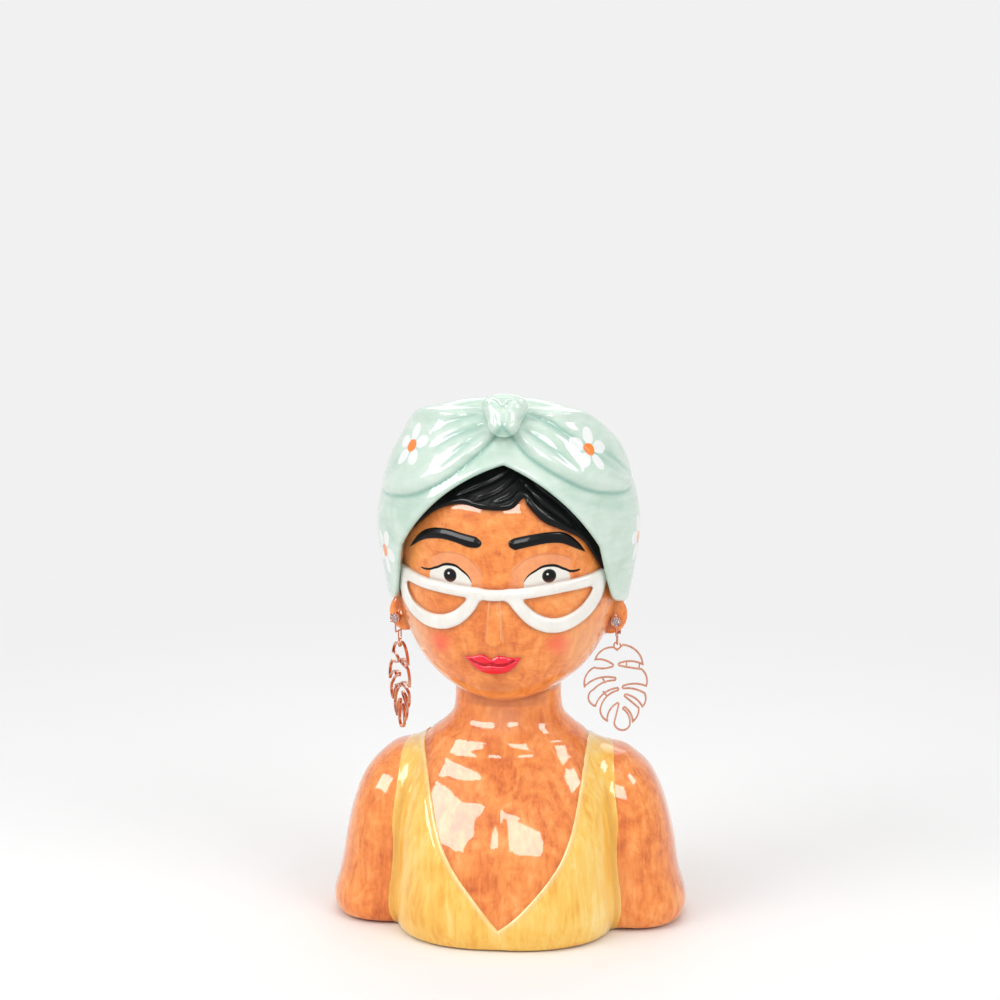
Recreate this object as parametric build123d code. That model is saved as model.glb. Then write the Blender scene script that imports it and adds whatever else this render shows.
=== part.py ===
from build123d import *
import math
import os

# A glazed ceramic planter in the form of a head and shoulders: a hollow casting
# with a knotted headwrap, open at the top, and a pair of leverback drop earrings.
# Lengths are millimetres. The front faces -Y, +X is the viewer's right, +Z is up,
# and the origin is the middle of the underside.

# Chest of the casting
chest_half_width = 56.4
chest_front = 62.0
chest_back = 47.0
chest_corner_share = 0.84
chest_wall = 6.5
floor_thickness = 8.0
foot_recess = 1.6
foot_rim = 8.0

# Upper arms, cut off straight at the base, and how far the chest stands above them
arm_height = 90.0
chest_over_arms = 10.0
chest_height = arm_height + chest_over_arms
arm_reach = 90.0
arm_inner = 34.0
arm_half_depth = 34.0
arm_set_back = 8.0
arm_corner_share = 0.86

# Neck, head and face. Places up the head are shares of its height.
neck_sink = 3.0
neck_foot = chest_height - neck_sink
neck_height = 48.0
neck_half_width = 34.0
neck_front = 30.0
neck_back = 27.0
chin_over_neck = 22.0
head_foot = neck_foot + chin_over_neck
head_height = 125.0
head_half_width = 56.0
head_front = 57.6
head_back = 57.0
face_offset = -2.0
nose_length = 27.0
nose_top_share = 0.456
nose_top = head_foot + head_height * nose_top_share
nose_half_width = 4.6
nose_reach = 3.6

# Ears and the holes pierced through them
ear_centre_x = 50.5
ear_centre_y = -5.0
ear_centre_share = 0.304
ear_centre_z = head_foot + head_height * ear_centre_share
ear_half_width = 8.1
ear_half_depth = 4.2
ear_half_height = 9.5
ear_hole_x = 54.8
ear_hole_drop = 2.2
ear_hole_z = ear_centre_z - ear_hole_drop
ear_hole_radius = 0.75

# Headwrap and its planting mouth
wrap_foot_share = 0.216
wrap_height_share = 0.944
wrap_foot = head_foot + head_height * wrap_foot_share
wrap_height = head_height * wrap_height_share
wrap_half_width = 66.0
wrap_front = 62.0
wrap_back = 64.4
temple_share = 0.424
wrap_nape_z = wrap_foot
wrap_temple_z = head_foot + head_height * temple_share
wrap_offset = 2.0
fold_rise = 3.2
fold_foot_share = 1.0512
fold_foot_z = head_foot + head_height * fold_foot_share
mouth_half_width = 36.0
mouth_front = 20.0
mouth_back = 43.0
rim_share = 1.164
rim_front_z = head_foot + head_height * rim_share
rim_fall = 16.0
rim_run = 80.0

# Knot over the brow
knot_foot_y = -57.0
knot_foot_share = 1.024
knot_foot_z = head_foot + head_height * knot_foot_share
knot_length = 27.0
knot_lean = 33.0
knot_half_width = 11.0
knot_half_depth = 7.6

# Face opening of the headwrap, seen from the front
opening_peak_share = 0.948
opening_peak_z = head_foot + head_height * opening_peak_share
opening_half_width = 53.5
opening_foot_share = 0.072
opening_foot_z = head_foot + head_height * opening_foot_share

# Raised painted features
hair_rise = 1.8
brow_rise = 1.3
brow_length = 36.6
brow_height = 11.0
brow_inner_x = 6.7
brow_share = 0.608
brow_z = head_foot + head_height * brow_share
lip_rise = 1.3
lip_half_width = 13.4
lip_height = 9.8
lip_share = 0.14
lip_z = head_foot + head_height * lip_share
lip_offset = -1.3
glasses_rise = 2.6
glasses_bar = 4.8
glasses_half_span = 50.8
glasses_rim = 4.75
lens_half_width = 20.4
lens_drop = 15.9
lens_centre_x = 25.6
bridge_share = 0.4544
bridge_z = head_foot + head_height * bridge_share
glasses_sweep = 6.0
dress_rise = 1.1

# Camisole seen from the front and from the back
strap_inner_x = 40.5
strap_outer_x = 53.0
neckline_share = 0.096
strap_foot_share = 0.57
scoop_share = 0.58
strap_over_arms = 6.0
neckline_z = chest_height * neckline_share
strap_base_z = chest_height * strap_foot_share
scoop_z = chest_height * scoop_share
shoulder_z = arm_height + strap_over_arms

# Leverback earring fittings
wire_radius = 0.4
loop_wire_radius = 0.35
setting_radius = 2.55
setting_depth = 2.0
setting_gap = 0.5
claw_radius = 0.32
claw_reach = 0.9
stone_radius = 2.25
stone_crown = 0.85
stone_pavilion = 1.5
stone_table_share = 0.58
stone_culet_share = 0.12
stone_facets = 8
base_drop = 7.4
bend_radius = 1.1
hook_reach = 5.3
hook_drop = 4.2
loop_half_width = 1.7
loop_drop = 5.2
knuckle_radius = 0.95
knuckle_width = 1.0
pin_radius = 0.3
pin_fit = 0.05
lever_half_width = 1.2
lever_thickness = 0.6
lever_slot = 1.4
lever_top_drop = 2.9
running_gap = 0.3
cheek_gap = 0.1

# Monstera leaf drop, a strip bent to the leaf's outline
leaf_width = 32.0
leaf_height = 43.0
strip_width = 0.8
strip_depth = 1.4
slot_tip_radius = 0.75
ring_radius = 1.65
ring_wire_radius = 0.35
tie_width = 0.7

# How far each earring and each leaf is turned about the vertical
frame_turn = {"left": -14.0, "right": -4.0}
leaf_turn = {"left": -64.0, "right": -4.0}

# Length that a cutting solid runs past what it cuts
overrun = 20.0

# Sections of the casting, as shares of each piece's own sizes.
# Chest: height, half width, front, back
chest_shares = [
    (0.000, 0.968, 0.971, 0.962),
    (0.030, 0.996, 0.998, 0.996),
    (0.280, 1.000, 0.994, 1.000),
    (0.480, 0.986, 0.942, 0.983),
    (0.630, 0.954, 0.858, 0.923),
    (0.760, 0.894, 0.752, 0.830),
    (0.850, 0.816, 0.645, 0.736),
    (0.910, 0.730, 0.565, 0.660),
    (0.955, 0.649, 0.506, 0.600),
    (1.000, 0.567, 0.468, 0.540),
]

# Arm: height, reach, half depth
arm_shares = [
    (0.000, 0.978, 0.941),
    (0.033, 1.000, 1.000),
    (0.222, 0.984, 1.000),
    (0.444, 0.942, 0.982),
    (0.644, 0.896, 0.929),
    (0.778, 0.844, 0.841),
    (0.867, 0.784, 0.724),
    (0.933, 0.711, 0.571),
    (0.978, 0.629, 0.371),
    (1.000, 0.556, 0.176),
]

# Neck: height, half width, front, back
neck_shares = [
    (0.000, 1.000, 1.000, 1.000),
    (0.080, 0.900, 0.940, 0.930),
    (0.220, 0.815, 0.900, 0.880),
    (0.420, 0.785, 0.900, 0.860),
    (0.650, 0.800, 0.960, 0.930),
    (1.000, 0.880, 1.030, 1.040),
]

# Head: height, half width, front, back
head_shares = [
    (0.000, 0.210, 0.660, 0.070),
    (0.024, 0.375, 0.764, 0.228),
    (0.064, 0.546, 0.858, 0.411),
    (0.120, 0.695, 0.924, 0.579),
    (0.184, 0.806, 0.965, 0.737),
    (0.264, 0.898, 0.990, 0.870),
    (0.376, 0.970, 1.000, 0.965),
    (0.520, 1.000, 1.000, 1.000),
    (0.672, 0.972, 0.976, 0.982),
    (0.808, 0.880, 0.899, 0.912),
    (0.920, 0.730, 0.774, 0.789),
    (1.000, 0.570, 0.625, 0.632),
]

# Headwrap: height, half width, front, back
wrap_shares = [
    (0.000, 0.800, 0.750, 0.810),
    (0.085, 0.872, 0.850, 0.900),
    (0.186, 0.924, 0.925, 0.960),
    (0.305, 0.963, 0.972, 0.990),
    (0.441, 1.000, 1.000, 1.000),
    (0.559, 0.992, 1.000, 0.990),
    (0.678, 0.936, 0.955, 0.945),
    (0.780, 0.850, 0.875, 0.865),
    (0.864, 0.746, 0.780, 0.760),
    (0.932, 0.630, 0.680, 0.640),
    (0.975, 0.520, 0.590, 0.510),
    (1.000, 0.400, 0.490, 0.360),
]

# Hollow of the neck and head: height above the neck foot over the headwrap's
# height, half width over the mouth's, front and back over the mouth's depth
hollow_shares = [
    (-0.085, 0.670, 0.390, 0.320),
    (0.025, 0.625, 0.365, 0.300),
    (0.144, 0.585, 0.345, 0.275),
    (0.246, 0.670, 0.430, 0.305),
    (0.330, 0.900, 0.600, 0.445),
    (0.432, 1.120, 0.710, 0.630),
    (0.550, 1.240, 0.775, 0.755),
    (0.703, 1.300, 0.800, 0.840),
    (0.873, 1.340, 0.790, 0.885),
    (1.008, 1.330, 0.745, 0.880),
    (1.127, 1.270, 0.640, 0.830),
    (1.229, 1.150, 0.490, 0.765),
    (1.314, 1.040, 0.370, 0.705),
    (1.398, 1.000, 0.317, 0.683),
    (1.500, 1.000, 0.317, 0.683),
]


# Chest and arm sections are rounded rectangles, the rest are ovals.
def block_section(z, left, right, front, back, corner_share):
    width = right - left
    depth = back - front
    corner = min(width, depth) / 2 * corner_share
    return Pos((left + right) / 2, (front + back) / 2, z) * RectangleRounded(width, depth, corner)


def oval_section(z, half_width, front, back):
    return Pos(0, (back - front) / 2, z) * Ellipse(half_width, (back + front) / 2)


def chest_stack(grow=0.0, floor=0.0, top_share=1.0):
    sections = []
    for height, width, front, back in chest_shares:
        z = chest_height * height * top_share + floor
        half = chest_half_width * width + grow
        near = -chest_front * front - grow
        far = chest_back * back + grow
        sections.append(block_section(z, -half, half, near, far, chest_corner_share))
    return loft(sections)


def arm_stack(side, grow=0.0):
    sections = []
    for height, reach, depth in arm_shares:
        z = arm_height * height
        outer = arm_reach * reach + grow
        half = arm_half_depth * depth + grow
        near = arm_set_back - half
        far = arm_set_back + half
        if side < 0:
            sections.append(block_section(z, -outer, -arm_inner, near, far, arm_corner_share))
        else:
            sections.append(block_section(z, arm_inner, outer, near, far, arm_corner_share))
    return loft(sections)


def oval_stack(shares, foot, height, half_width, front, back, widen=0.0, forward=0.0, backward=0.0):
    sections = []
    for rise, width, near, far in shares:
        sections.append(oval_section(
            foot + height * rise,
            half_width * width + widen,
            front * near + forward,
            back * far + backward))
    return loft(sections)


def head_stack(grow=0.0):
    return oval_stack(head_shares, head_foot, head_height, head_half_width,
                      head_front, head_back, grow, grow, grow)


def wrap_stack(widen=0.0, forward=0.0, backward=0.0):
    return oval_stack(wrap_shares, wrap_foot, wrap_height, wrap_half_width,
                      wrap_front, wrap_back, widen, forward, backward)


# A front view outline runs forward from the mid-plane as a straight prism.
def forward_prism(outline):
    return extrude(Plane.XZ * outline, amount=chest_front + overrun)


def through_prism(outline):
    return forward_prism(outline) + backward_prism(outline)


def backward_prism(outline):
    return extrude(Plane.XZ * outline, amount=-(chest_back + overrun))


def raised(outline, proud, ground):
    return forward_prism(outline) & proud - ground


def mirrored(outline, side):
    return outline if side > 0 else mirror(outline, Plane.YZ)


# Hollows
mouth_depth = mouth_front + mouth_back


def head_hollow():
    return oval_stack(hollow_shares, neck_foot, wrap_height, mouth_half_width,
                      mouth_depth, mouth_depth)


def chest_hollow():
    top_share = (chest_height - chest_wall - floor_thickness) / chest_height
    return chest_stack(-chest_wall, floor_thickness, top_share)


def foot_hollow():
    _, half, near, far = chest_shares[0]
    section = block_section(
        0,
        -chest_half_width * half + foot_rim,
        chest_half_width * half - foot_rim,
        -chest_front * near + foot_rim,
        chest_back * far - foot_rim,
        chest_corner_share)
    return extrude(section, amount=foot_recess)


# Headwrap before the face opening is cut
def wrap_block(widen=0.0, forward=0.0, backward=0.0):
    block = wrap_stack(widen, forward, backward)
    reach = wrap_half_width + overrun
    fall = (wrap_temple_z - wrap_nape_z) / (wrap_front + wrap_back)
    middle_z = wrap_nape_z + fall * wrap_back
    below = Plane((0, 0, middle_z), x_dir=(1, 0, 0), z_dir=(0, fall, 1))
    above = Plane((0, -chest_front / 2, rim_front_z), x_dir=(1, 0, 0), z_dir=(0, rim_fall / rim_run, 1))
    block -= below * Box(2 * reach, 4 * reach, 2 * reach, align=(Align.CENTER, Align.CENTER, Align.MAX))
    block -= above * Box(2 * reach, 4 * reach, 2 * reach, align=(Align.CENTER, Align.CENTER, Align.MIN))
    return block


# Edge of the headwrap round the face, from the peak down each temple: share of
# the half width across, and of the height from the peak to the ear holes
opening_right_shares = [(0.53, 0.20), (0.88, 0.49), (1.00, 0.90)]
opening_left_shares = [(-0.50, 0.20), (-0.88, 0.51), (-1.00, 0.90)]


def opening_point(share):
    rise = opening_peak_z - ear_hole_z
    return (opening_half_width * share[0], opening_peak_z - rise * share[1])


def opening_outline():
    peak = (wrap_offset, opening_peak_z)
    right_mid, right_low, right_foot = [opening_point(share) for share in opening_right_shares]
    left_mid, left_low, left_foot = [opening_point(share) for share in opening_left_shares]
    right_end = (right_foot[0], opening_foot_z)
    left_end = (left_foot[0], opening_foot_z)
    edges = [
        ThreePointArc(peak, right_mid, right_low),
        Line(right_low, right_foot),
        Line(right_foot, right_end),
        Line(right_end, left_end),
        Line(left_end, left_foot),
        Line(left_foot, left_low),
        ThreePointArc(left_low, left_mid, peak),
    ]
    return make_face(edges)


# Hair swept from the viewer's left down to the right temple
hair_edge_shares = [
    (-0.760, 0.345),
    (-0.560, 0.268),
    (-0.345, 0.230),
    (-0.140, 0.255),
    (0.165, 0.247),
    (0.255, 0.250),
    (0.400, 0.350),
    (0.620, 0.420),
    (0.745, 0.495),
    (0.850, 0.620),
    (0.925, 0.690),
]


def hair_outline():
    points = [opening_point(share) for share in hair_edge_shares]
    top = opening_peak_z + overrun
    side = opening_half_width + overrun
    last = points[-1]
    first = points[0]
    edges = [
        Spline(*points),
        Line(last, (side, last[1])),
        Line((side, last[1]), (side, top)),
        Line((side, top), (-side, top)),
        Line((-side, top), (-side, first[1])),
        Line((-side, first[1]), first),
    ]
    return make_face(edges)


# A brow runs from a round inner end over its arch to a point at the temple.
# Each row is an arc: start, middle and end, as shares of length and height.
brow_arc_shares = [
    ((0.07, 0.25), (0.00, 0.50), (0.06, 0.74)),
    ((0.06, 0.74), (0.48, 1.00), (0.87, 0.56)),
    ((0.87, 0.56), (0.94, 0.32), (1.00, 0.00)),
    ((1.00, 0.00), (0.60, 0.46), (0.07, 0.25)),
]


def arcs(table, left, foot, width, height):
    edges = []
    for row in table:
        edges.append(ThreePointArc(*[(left + width * x, foot + height * z) for x, z in row]))
    return make_face(edges)


def brow_outline(side):
    outline = arcs(brow_arc_shares, brow_inner_x, brow_z, brow_length, brow_height)
    return Pos(face_offset, 0) * mirrored(outline, side)


# Half-moon spectacles: one swept bar with a rim under each end. The rim starts
# and ends at these shares of the bar's sweep.
rim_inner_share = 0.10
rim_outer_share = 0.75


def glasses_outline():
    end_z = bridge_z + glasses_sweep
    outline = trace(ThreePointArc((-glasses_half_span, end_z), (0, bridge_z), (glasses_half_span, end_z)),
                    glasses_bar)
    for side in (-1, 1):
        middle = side * lens_centre_x
        inner = middle - side * lens_half_width
        outer = middle + side * lens_half_width
        rim_path = ThreePointArc(
            (inner, bridge_z + glasses_sweep * rim_inner_share),
            (middle, bridge_z - lens_drop),
            (outer, bridge_z + glasses_sweep * rim_outer_share))
        outline += trace(rim_path, glasses_rim)
    return Pos(face_offset, 0) * outline


# Full lips with a bow above and a curve below, as arcs
lip_arc_shares = [
    ((-1.00, 0.84), (-0.58, 0.90), (-0.22, 1.00)),
    ((-0.22, 1.00), (0.00, 0.84), (0.22, 1.00)),
    ((0.22, 1.00), (0.58, 0.90), (1.00, 0.84)),
    ((1.00, 0.84), (0.72, 0.27), (0.00, 0.00)),
    ((0.00, 0.00), (-0.72, 0.27), (-1.00, 0.84)),
]


def lips_outline():
    return Pos(face_offset + lip_offset, 0) * arcs(lip_arc_shares, 0, lip_z, lip_half_width, lip_height)


# Nose ridge: height below its top, half width and how far it stands off the face
nose_shares = [
    (0.00, 0.30, -0.60),
    (0.25, 0.55, 0.10),
    (0.55, 0.75, 0.62),
    (0.80, 1.00, 1.00),
    (0.93, 0.90, 0.80),
    (1.00, 0.55, -0.10),
]


def nose():
    root = head_front - nose_length / 2
    sections = []
    for drop, width, reach in nose_shares:
        tip = head_front + nose_reach * reach
        half = nose_half_width * width
        z = nose_top - nose_length * drop
        middle = -(root + tip) / 2
        sections.append(Pos(face_offset, middle, z) * Ellipse(half, (tip - root) / 2))
    return loft(sections)


# Ears, pierced along the axis that each earring's wire takes
def ear(side):
    body = scale(Sphere(ear_half_height), by=(
        ear_half_width / ear_half_height, ear_half_depth / ear_half_height, 1))
    return Pos(side * ear_centre_x, ear_centre_y, ear_centre_z) * body


def ear_place(name):
    side = -1 if name == "left" else 1
    return Pos(side * ear_hole_x, ear_centre_y, ear_hole_z) * Rot(0, 0, frame_turn[name])


def ear_bore(name):
    bore = Cylinder(ear_hole_radius, 2 * (ear_half_depth + setting_gap))
    return ear_place(name) * Rot(90, 0, 0) * bore


# Camisole: a deep V between two straps in front, a scoop behind. The neckline
# bends at a share of the strap's distance out and of the V's height.
neckline_bend_share = (0.59, 0.60)
strap_base_share = 0.84


def dress_front_outline():
    side = chest_half_width + dress_rise
    rise = strap_base_z - neckline_z
    edges = [Line((side, 0), (-side, 0))]
    for sign in (1, -1):
        bend = (sign * strap_inner_x * neckline_bend_share[0], neckline_z + rise * neckline_bend_share[1])
        base = (sign * strap_inner_x * strap_base_share, strap_base_z)
        inner = (sign * strap_inner_x, shoulder_z)
        outer = (sign * strap_outer_x, shoulder_z)
        edges.append(ThreePointArc((0, neckline_z), bend, base))
        edges.append(Line(base, inner))
        edges.append(Line(inner, outer))
        edges.append(Line(outer, (sign * side, strap_base_z)))
        edges.append(Line((sign * side, strap_base_z), (sign * side, 0)))
    return make_face(edges)


def dress_back_outline():
    side = chest_half_width + dress_rise
    edges = [
        ThreePointArc((-strap_inner_x, shoulder_z), (0, scoop_z), (strap_inner_x, shoulder_z)),
        Line((strap_inner_x, shoulder_z), (strap_outer_x, shoulder_z)),
        Line((strap_outer_x, shoulder_z), (side, strap_base_z)),
        Line((side, strap_base_z), (side, 0)),
        Line((side, 0), (-side, 0)),
        Line((-side, 0), (-side, strap_base_z)),
        Line((-side, strap_base_z), (-strap_outer_x, shoulder_z)),
        Line((-strap_outer_x, shoulder_z), (-strap_inner_x, shoulder_z)),
    ]
    return make_face(edges)


# Knot: a fan that widens as it leans back over the brow. Each row: share of the
# length, half width and half depth.
knot_corner_share = 0.9
knot_shares = [
    (0.00, 0.34, 0.45),
    (0.22, 0.46, 0.62),
    (0.50, 0.70, 0.85),
    (0.76, 0.95, 1.00),
    (0.92, 0.96, 0.86),
    (1.00, 0.74, 0.50),
]


def knot():
    sections = []
    for along, width, depth in knot_shares:
        rim = RectangleRounded(
            2 * knot_half_width * width,
            2 * knot_half_depth * depth,
            knot_half_depth * depth * knot_corner_share)
        sections.append(Pos(0, 0, knot_length * along) * rim)
    return Pos(wrap_offset, knot_foot_y, knot_foot_z) * Rot(-knot_lean, 0, 0) * loft(sections)


# Swept folds on each side of the knot, in front view: the lower edge bends and
# ends at these shares of the headwrap's half width and height
fold_bend_share = (0.42, 0.735)
fold_tip_share = (0.96, 0.64)
fold_side_share = 0.6


def fold_point(share):
    return (wrap_half_width * share[0], wrap_foot + wrap_height * share[1])


def fold_outline(side):
    reach = wrap_half_width + overrun
    top = rim_front_z + overrun
    start = (wrap_offset * side, fold_foot_z)
    tip = fold_point(fold_tip_share)
    edges = [
        ThreePointArc(start, fold_point(fold_bend_share), tip),
        Line(tip, (reach, tip[1])),
        Line((reach, tip[1]), (reach, top)),
        Line((reach, top), (start[0], top)),
        Line((start[0], top), start),
    ]
    return mirrored(make_face(edges), side)


# Wires are round rods along straight runs and bends
def rod(path, radius):
    return sweep(Plane(origin=path @ 0, z_dir=path % 0) * Circle(radius), path=path)


# Claw setting in front of the ear, with the wire that hooks through it
setting_back = -(ear_half_depth + setting_gap)
setting_front = setting_back - setting_depth
wire_plane = (setting_back + setting_front) / 2


def stone():
    girdle = RegularPolygon(stone_radius, stone_facets)
    table = RegularPolygon(stone_radius * stone_table_share, stone_facets, rotation=180 / stone_facets)
    crown = loft([girdle, Pos(0, 0, stone_crown) * table])
    culet = RegularPolygon(stone_radius * stone_culet_share, stone_facets)
    pavilion = loft([Pos(0, 0, -stone_pavilion) * culet, girdle])
    return Pos(0, setting_front, 0) * Rot(90, 0, 0) * (crown + pavilion)


def setting():
    cup = Pos(0, wire_plane, 0) * Rot(90, 0, 0) * Cylinder(setting_radius, setting_depth)
    for turn in range(4):
        angle = math.radians(45 + 90 * turn)
        claw = Cylinder(claw_radius, setting_depth + claw_reach)
        cup += Pos(
            setting_radius * math.cos(angle),
            wire_plane - claw_reach / 2,
            setting_radius * math.sin(angle)) * Rot(90, 0, 0) * claw
    return cup


def frame_fitting():
    leg = FilletPolyline(
        (0, wire_plane, 0),
        (0, wire_plane, -base_drop),
        (0, hook_reach, -base_drop),
        radius=bend_radius)
    hook = FilletPolyline(
        (0, wire_plane, 0),
        (0, hook_reach, 0),
        (0, hook_reach, -hook_drop),
        radius=bend_radius)
    loop_foot = base_drop + loop_drop - loop_half_width
    loop = Wire([
        Line((0, -loop_half_width, -base_drop), (0, -loop_half_width, -loop_foot)),
        ThreePointArc(
            (0, -loop_half_width, -loop_foot),
            (0, 0, -loop_foot - loop_half_width),
            (0, loop_half_width, -loop_foot)),
        Line((0, loop_half_width, -loop_foot), (0, loop_half_width, -base_drop)),
    ])
    knuckle = Pos(0, hook_reach, -base_drop) * Rot(0, 90, 0) * Cylinder(knuckle_radius, knuckle_width)
    pin_hole = Pos(0, hook_reach, -base_drop) * Rot(0, 90, 0) * Cylinder(pin_radius + pin_fit, 2 * knuckle_width)
    fitting = setting() + rod(leg, wire_radius) + rod(hook, wire_radius) + rod(loop, loop_wire_radius)
    return fitting + knuckle - pin_hole - stone()


def hinge_pin():
    return Pos(0, hook_reach, -base_drop) * Rot(0, 90, 0) * Cylinder(pin_radius, 2 * lever_half_width)


# The lever's cheeks straddle the knuckle, and its slot closes round the hook
def lever():
    foot = knuckle_radius + running_gap / 2
    length = base_drop - lever_top_drop - foot
    strip_middle = -lever_top_drop - length / 2
    strip = Pos(0, hook_reach, strip_middle) * Box(2 * lever_half_width, lever_thickness, length)
    slot_foot = hook_drop + running_gap
    slot = Pos(0, hook_reach, -slot_foot) * Box(
        lever_slot, 2 * lever_thickness, slot_foot,
        align=(Align.CENTER, Align.CENTER, Align.MIN))
    body = strip - slot
    inner = knuckle_width / 2 + cheek_gap
    cheek_width = lever_half_width - inner
    for side in (-1, 1):
        centre = side * (inner + cheek_width / 2)
        eye = Pos(centre, hook_reach, -base_drop) * Rot(0, 90, 0) * Cylinder(knuckle_radius, cheek_width)
        web = Pos(centre, hook_reach, -base_drop) * Box(
            cheek_width, lever_thickness, foot + lever_thickness,
            align=(Align.CENTER, Align.CENTER, Align.MIN))
        body += eye + web
    return body - hinge_pin()


# Monstera leaf outline. Each row is one slot between two leaf fingers, going
# down the viewer's left side and up the right: the finger's corner, the middle
# of the slot's outer edge, its tip, the middle of its inner edge, the shoulder
# of the next finger and the bulge of that finger's rim. Shares of the leaf's
# width across and of its height down from the ring.
leaf_start_share = (-0.055, -0.022)
leaf_end_share = (0.090, 0.011)
leaf_notch_share = (0.000, -0.052)
first_rim_share = (-0.228, -0.058)
last_rim_share = (0.322, -0.070)
leaf_slot_shares = [
    ((-0.343, -0.174), (-0.179, -0.181), (-0.060, -0.237), (-0.219, -0.278), (-0.358, -0.269), (-0.483, -0.363)),
    ((-0.509, -0.500), (-0.299, -0.396), (-0.022, -0.391), (-0.209, -0.444), (-0.368, -0.533), (-0.448, -0.622)),
    ((-0.336, -0.730), (-0.239, -0.600), (0.018, -0.507), (-0.149, -0.604), (-0.249, -0.733), (-0.244, -0.830)),
    ((-0.149, -0.900), (-0.119, -0.785), (0.015, -0.685), (0.000, -0.800), (-0.037, -0.926), (0.080, -1.006)),
    ((0.211, -0.904), (0.184, -0.819), (0.111, -0.730), (0.214, -0.796), (0.254, -0.896), (0.328, -0.822)),
    ((0.346, -0.733), (0.259, -0.678), (0.129, -0.581), (0.289, -0.619), (0.403, -0.715), (0.456, -0.622)),
    ((0.438, -0.556), (0.289, -0.510), (0.088, -0.487), (0.259, -0.446), (0.460, -0.467), (0.466, -0.363)),
    ((0.383, -0.269), (0.209, -0.256), (0.025, -0.219), (0.209, -0.179), (0.403, -0.211), (0.322, -0.070)),
]


def leaf_point(share):
    return Vector(leaf_width * share[0], leaf_height * share[1])


def slot_edges(enter, enter_mid, tip, leave_mid, leave):
    mouth = (enter + leave) / 2
    inward = (tip - mouth).normalized()
    across = (enter - leave).normalized()
    across = (across - inward * across.dot(inward)).normalized()
    heel = tip - inward * slot_tip_radius
    first = heel + across * slot_tip_radius
    second = heel - across * slot_tip_radius
    return [
        ThreePointArc(enter, enter_mid, first),
        ThreePointArc(first, tip, second),
        ThreePointArc(second, leave_mid, leave),
    ]


def leaf_outline():
    notch = leaf_point(leaf_notch_share)
    here = leaf_point(leaf_start_share)
    bulge = leaf_point(first_rim_share)
    edges = [Line(notch, here)]
    for row in leaf_slot_shares:
        corner, corner_mid, tip, shoulder_mid, shoulder, rim = [leaf_point(share) for share in row]
        edges.append(ThreePointArc(here, bulge, corner))
        edges += slot_edges(corner, corner_mid, tip, shoulder_mid, shoulder)
        here = shoulder
        bulge = rim
    end = leaf_point(leaf_end_share)
    edges.append(ThreePointArc(here, leaf_point(last_rim_share), end))
    edges.append(Line(end, notch))
    return edges


# Short ties that stiffen the leaf across its slots
tie_shares = [
    ((-0.205, -0.420), 30.0),
    ((-0.190, -0.575), 38.0),
    ((0.150, -0.222), 0.0),
    ((0.350, -0.232), -8.0),
]


def leaf():
    edges = leaf_outline()
    strip = trace(edges, strip_width)
    for edge in edges:
        start = edge @ 0
        strip += Pos(start.X, start.Y) * Circle(strip_width / 2)
    for share, turn in tie_shares:
        middle = leaf_point(share)
        strip += Pos(middle.X, middle.Y) * Rot(0, 0, turn) * Rectangle(tie_width, 4 * slot_tip_radius)
    plate = extrude(Plane.XZ * strip, amount=strip_depth / 2, both=True)
    ring = Rot(90, 0, 0) * Torus(ring_radius, ring_wire_radius)
    return plate + ring


# The ring hangs on the lowest point of the frame's loop
ring_drop = base_drop + loop_drop - loop_wire_radius - ring_wire_radius - running_gap + ring_radius


def leaf_place(name):
    return ear_place(name) * Pos(0, 0, -ring_drop) * Rot(0, 0, leaf_turn[name] - frame_turn[name])


os.makedirs("parts", exist_ok=True)
parts = {}

# Ceramic body
chest = chest_stack()
arms = {"left": arm_stack(-1), "right": arm_stack(1)}
hollow = head_hollow()
parts["torso"] = chest - chest_hollow() - hollow - foot_hollow()
for name, arm in arms.items():
    parts["arm_" + name] = arm - chest

wrap = wrap_block()
opening = opening_outline()
wrap_shell = wrap - forward_prism(opening)
parts["headwrap"] = wrap_shell - hollow

face = head_stack()
head = oval_stack(neck_shares, neck_foot, neck_height, neck_half_width, neck_front, neck_back)
head = head + face + nose() + ear(-1) + ear(1)
head = head - chest - wrap_shell - hollow
for name in ("left", "right"):
    head -= ear_bore(name)
parts["head"] = head

# Folds and knot of the headwrap
draped = wrap_block(fold_rise * fold_side_share, fold_rise, -fold_rise * fold_side_share)
for name, side in (("left", -1), ("right", 1)):
    parts["wrap_fold_" + name] = (draped & through_prism(fold_outline(side))) - wrap - hollow
parts["wrap_knot"] = knot() - draped - wrap

# Raised features of the face
glasses = raised(glasses_outline(), head_stack(glasses_rise), face) - wrap_shell - nose()
hair = raised(opening & hair_outline(), head_stack(hair_rise), face) - wrap_shell - glasses
parts["glasses"] = glasses
parts["hair"] = hair
for name, side in (("left", -1), ("right", 1)):
    parts["brow_" + name] = raised(brow_outline(side), head_stack(brow_rise), face) - hair
parts["lips"] = raised(lips_outline(), head_stack(lip_rise), face)

# Camisole over the chest, its straps over the shoulders
clothed = chest_stack(dress_rise)
for side in (-1, 1):
    strap = Pos(side * (strap_inner_x + strap_outer_x) / 2, 0, shoulder_z) * Box(
        strap_outer_x - strap_inner_x, 4 * arm_half_depth, 2 * (shoulder_z - strap_base_z))
    clothed += arm_stack(side, dress_rise) & strap
camisole = (clothed & forward_prism(dress_front_outline()))
camisole += (clothed & backward_prism(dress_back_outline()))
parts["camisole"] = camisole - chest - arms["left"] - arms["right"] - head

# Earrings
fittings = {"frame": frame_fitting(), "stone": stone(), "lever": lever(), "pin": hinge_pin()}
drop = leaf()
for name in ("left", "right"):
    for piece, fitting in fittings.items():
        parts["earring_" + piece + "_" + name] = ear_place(name) * fitting
    parts["earring_leaf_" + name] = leaf_place(name) * drop

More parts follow.
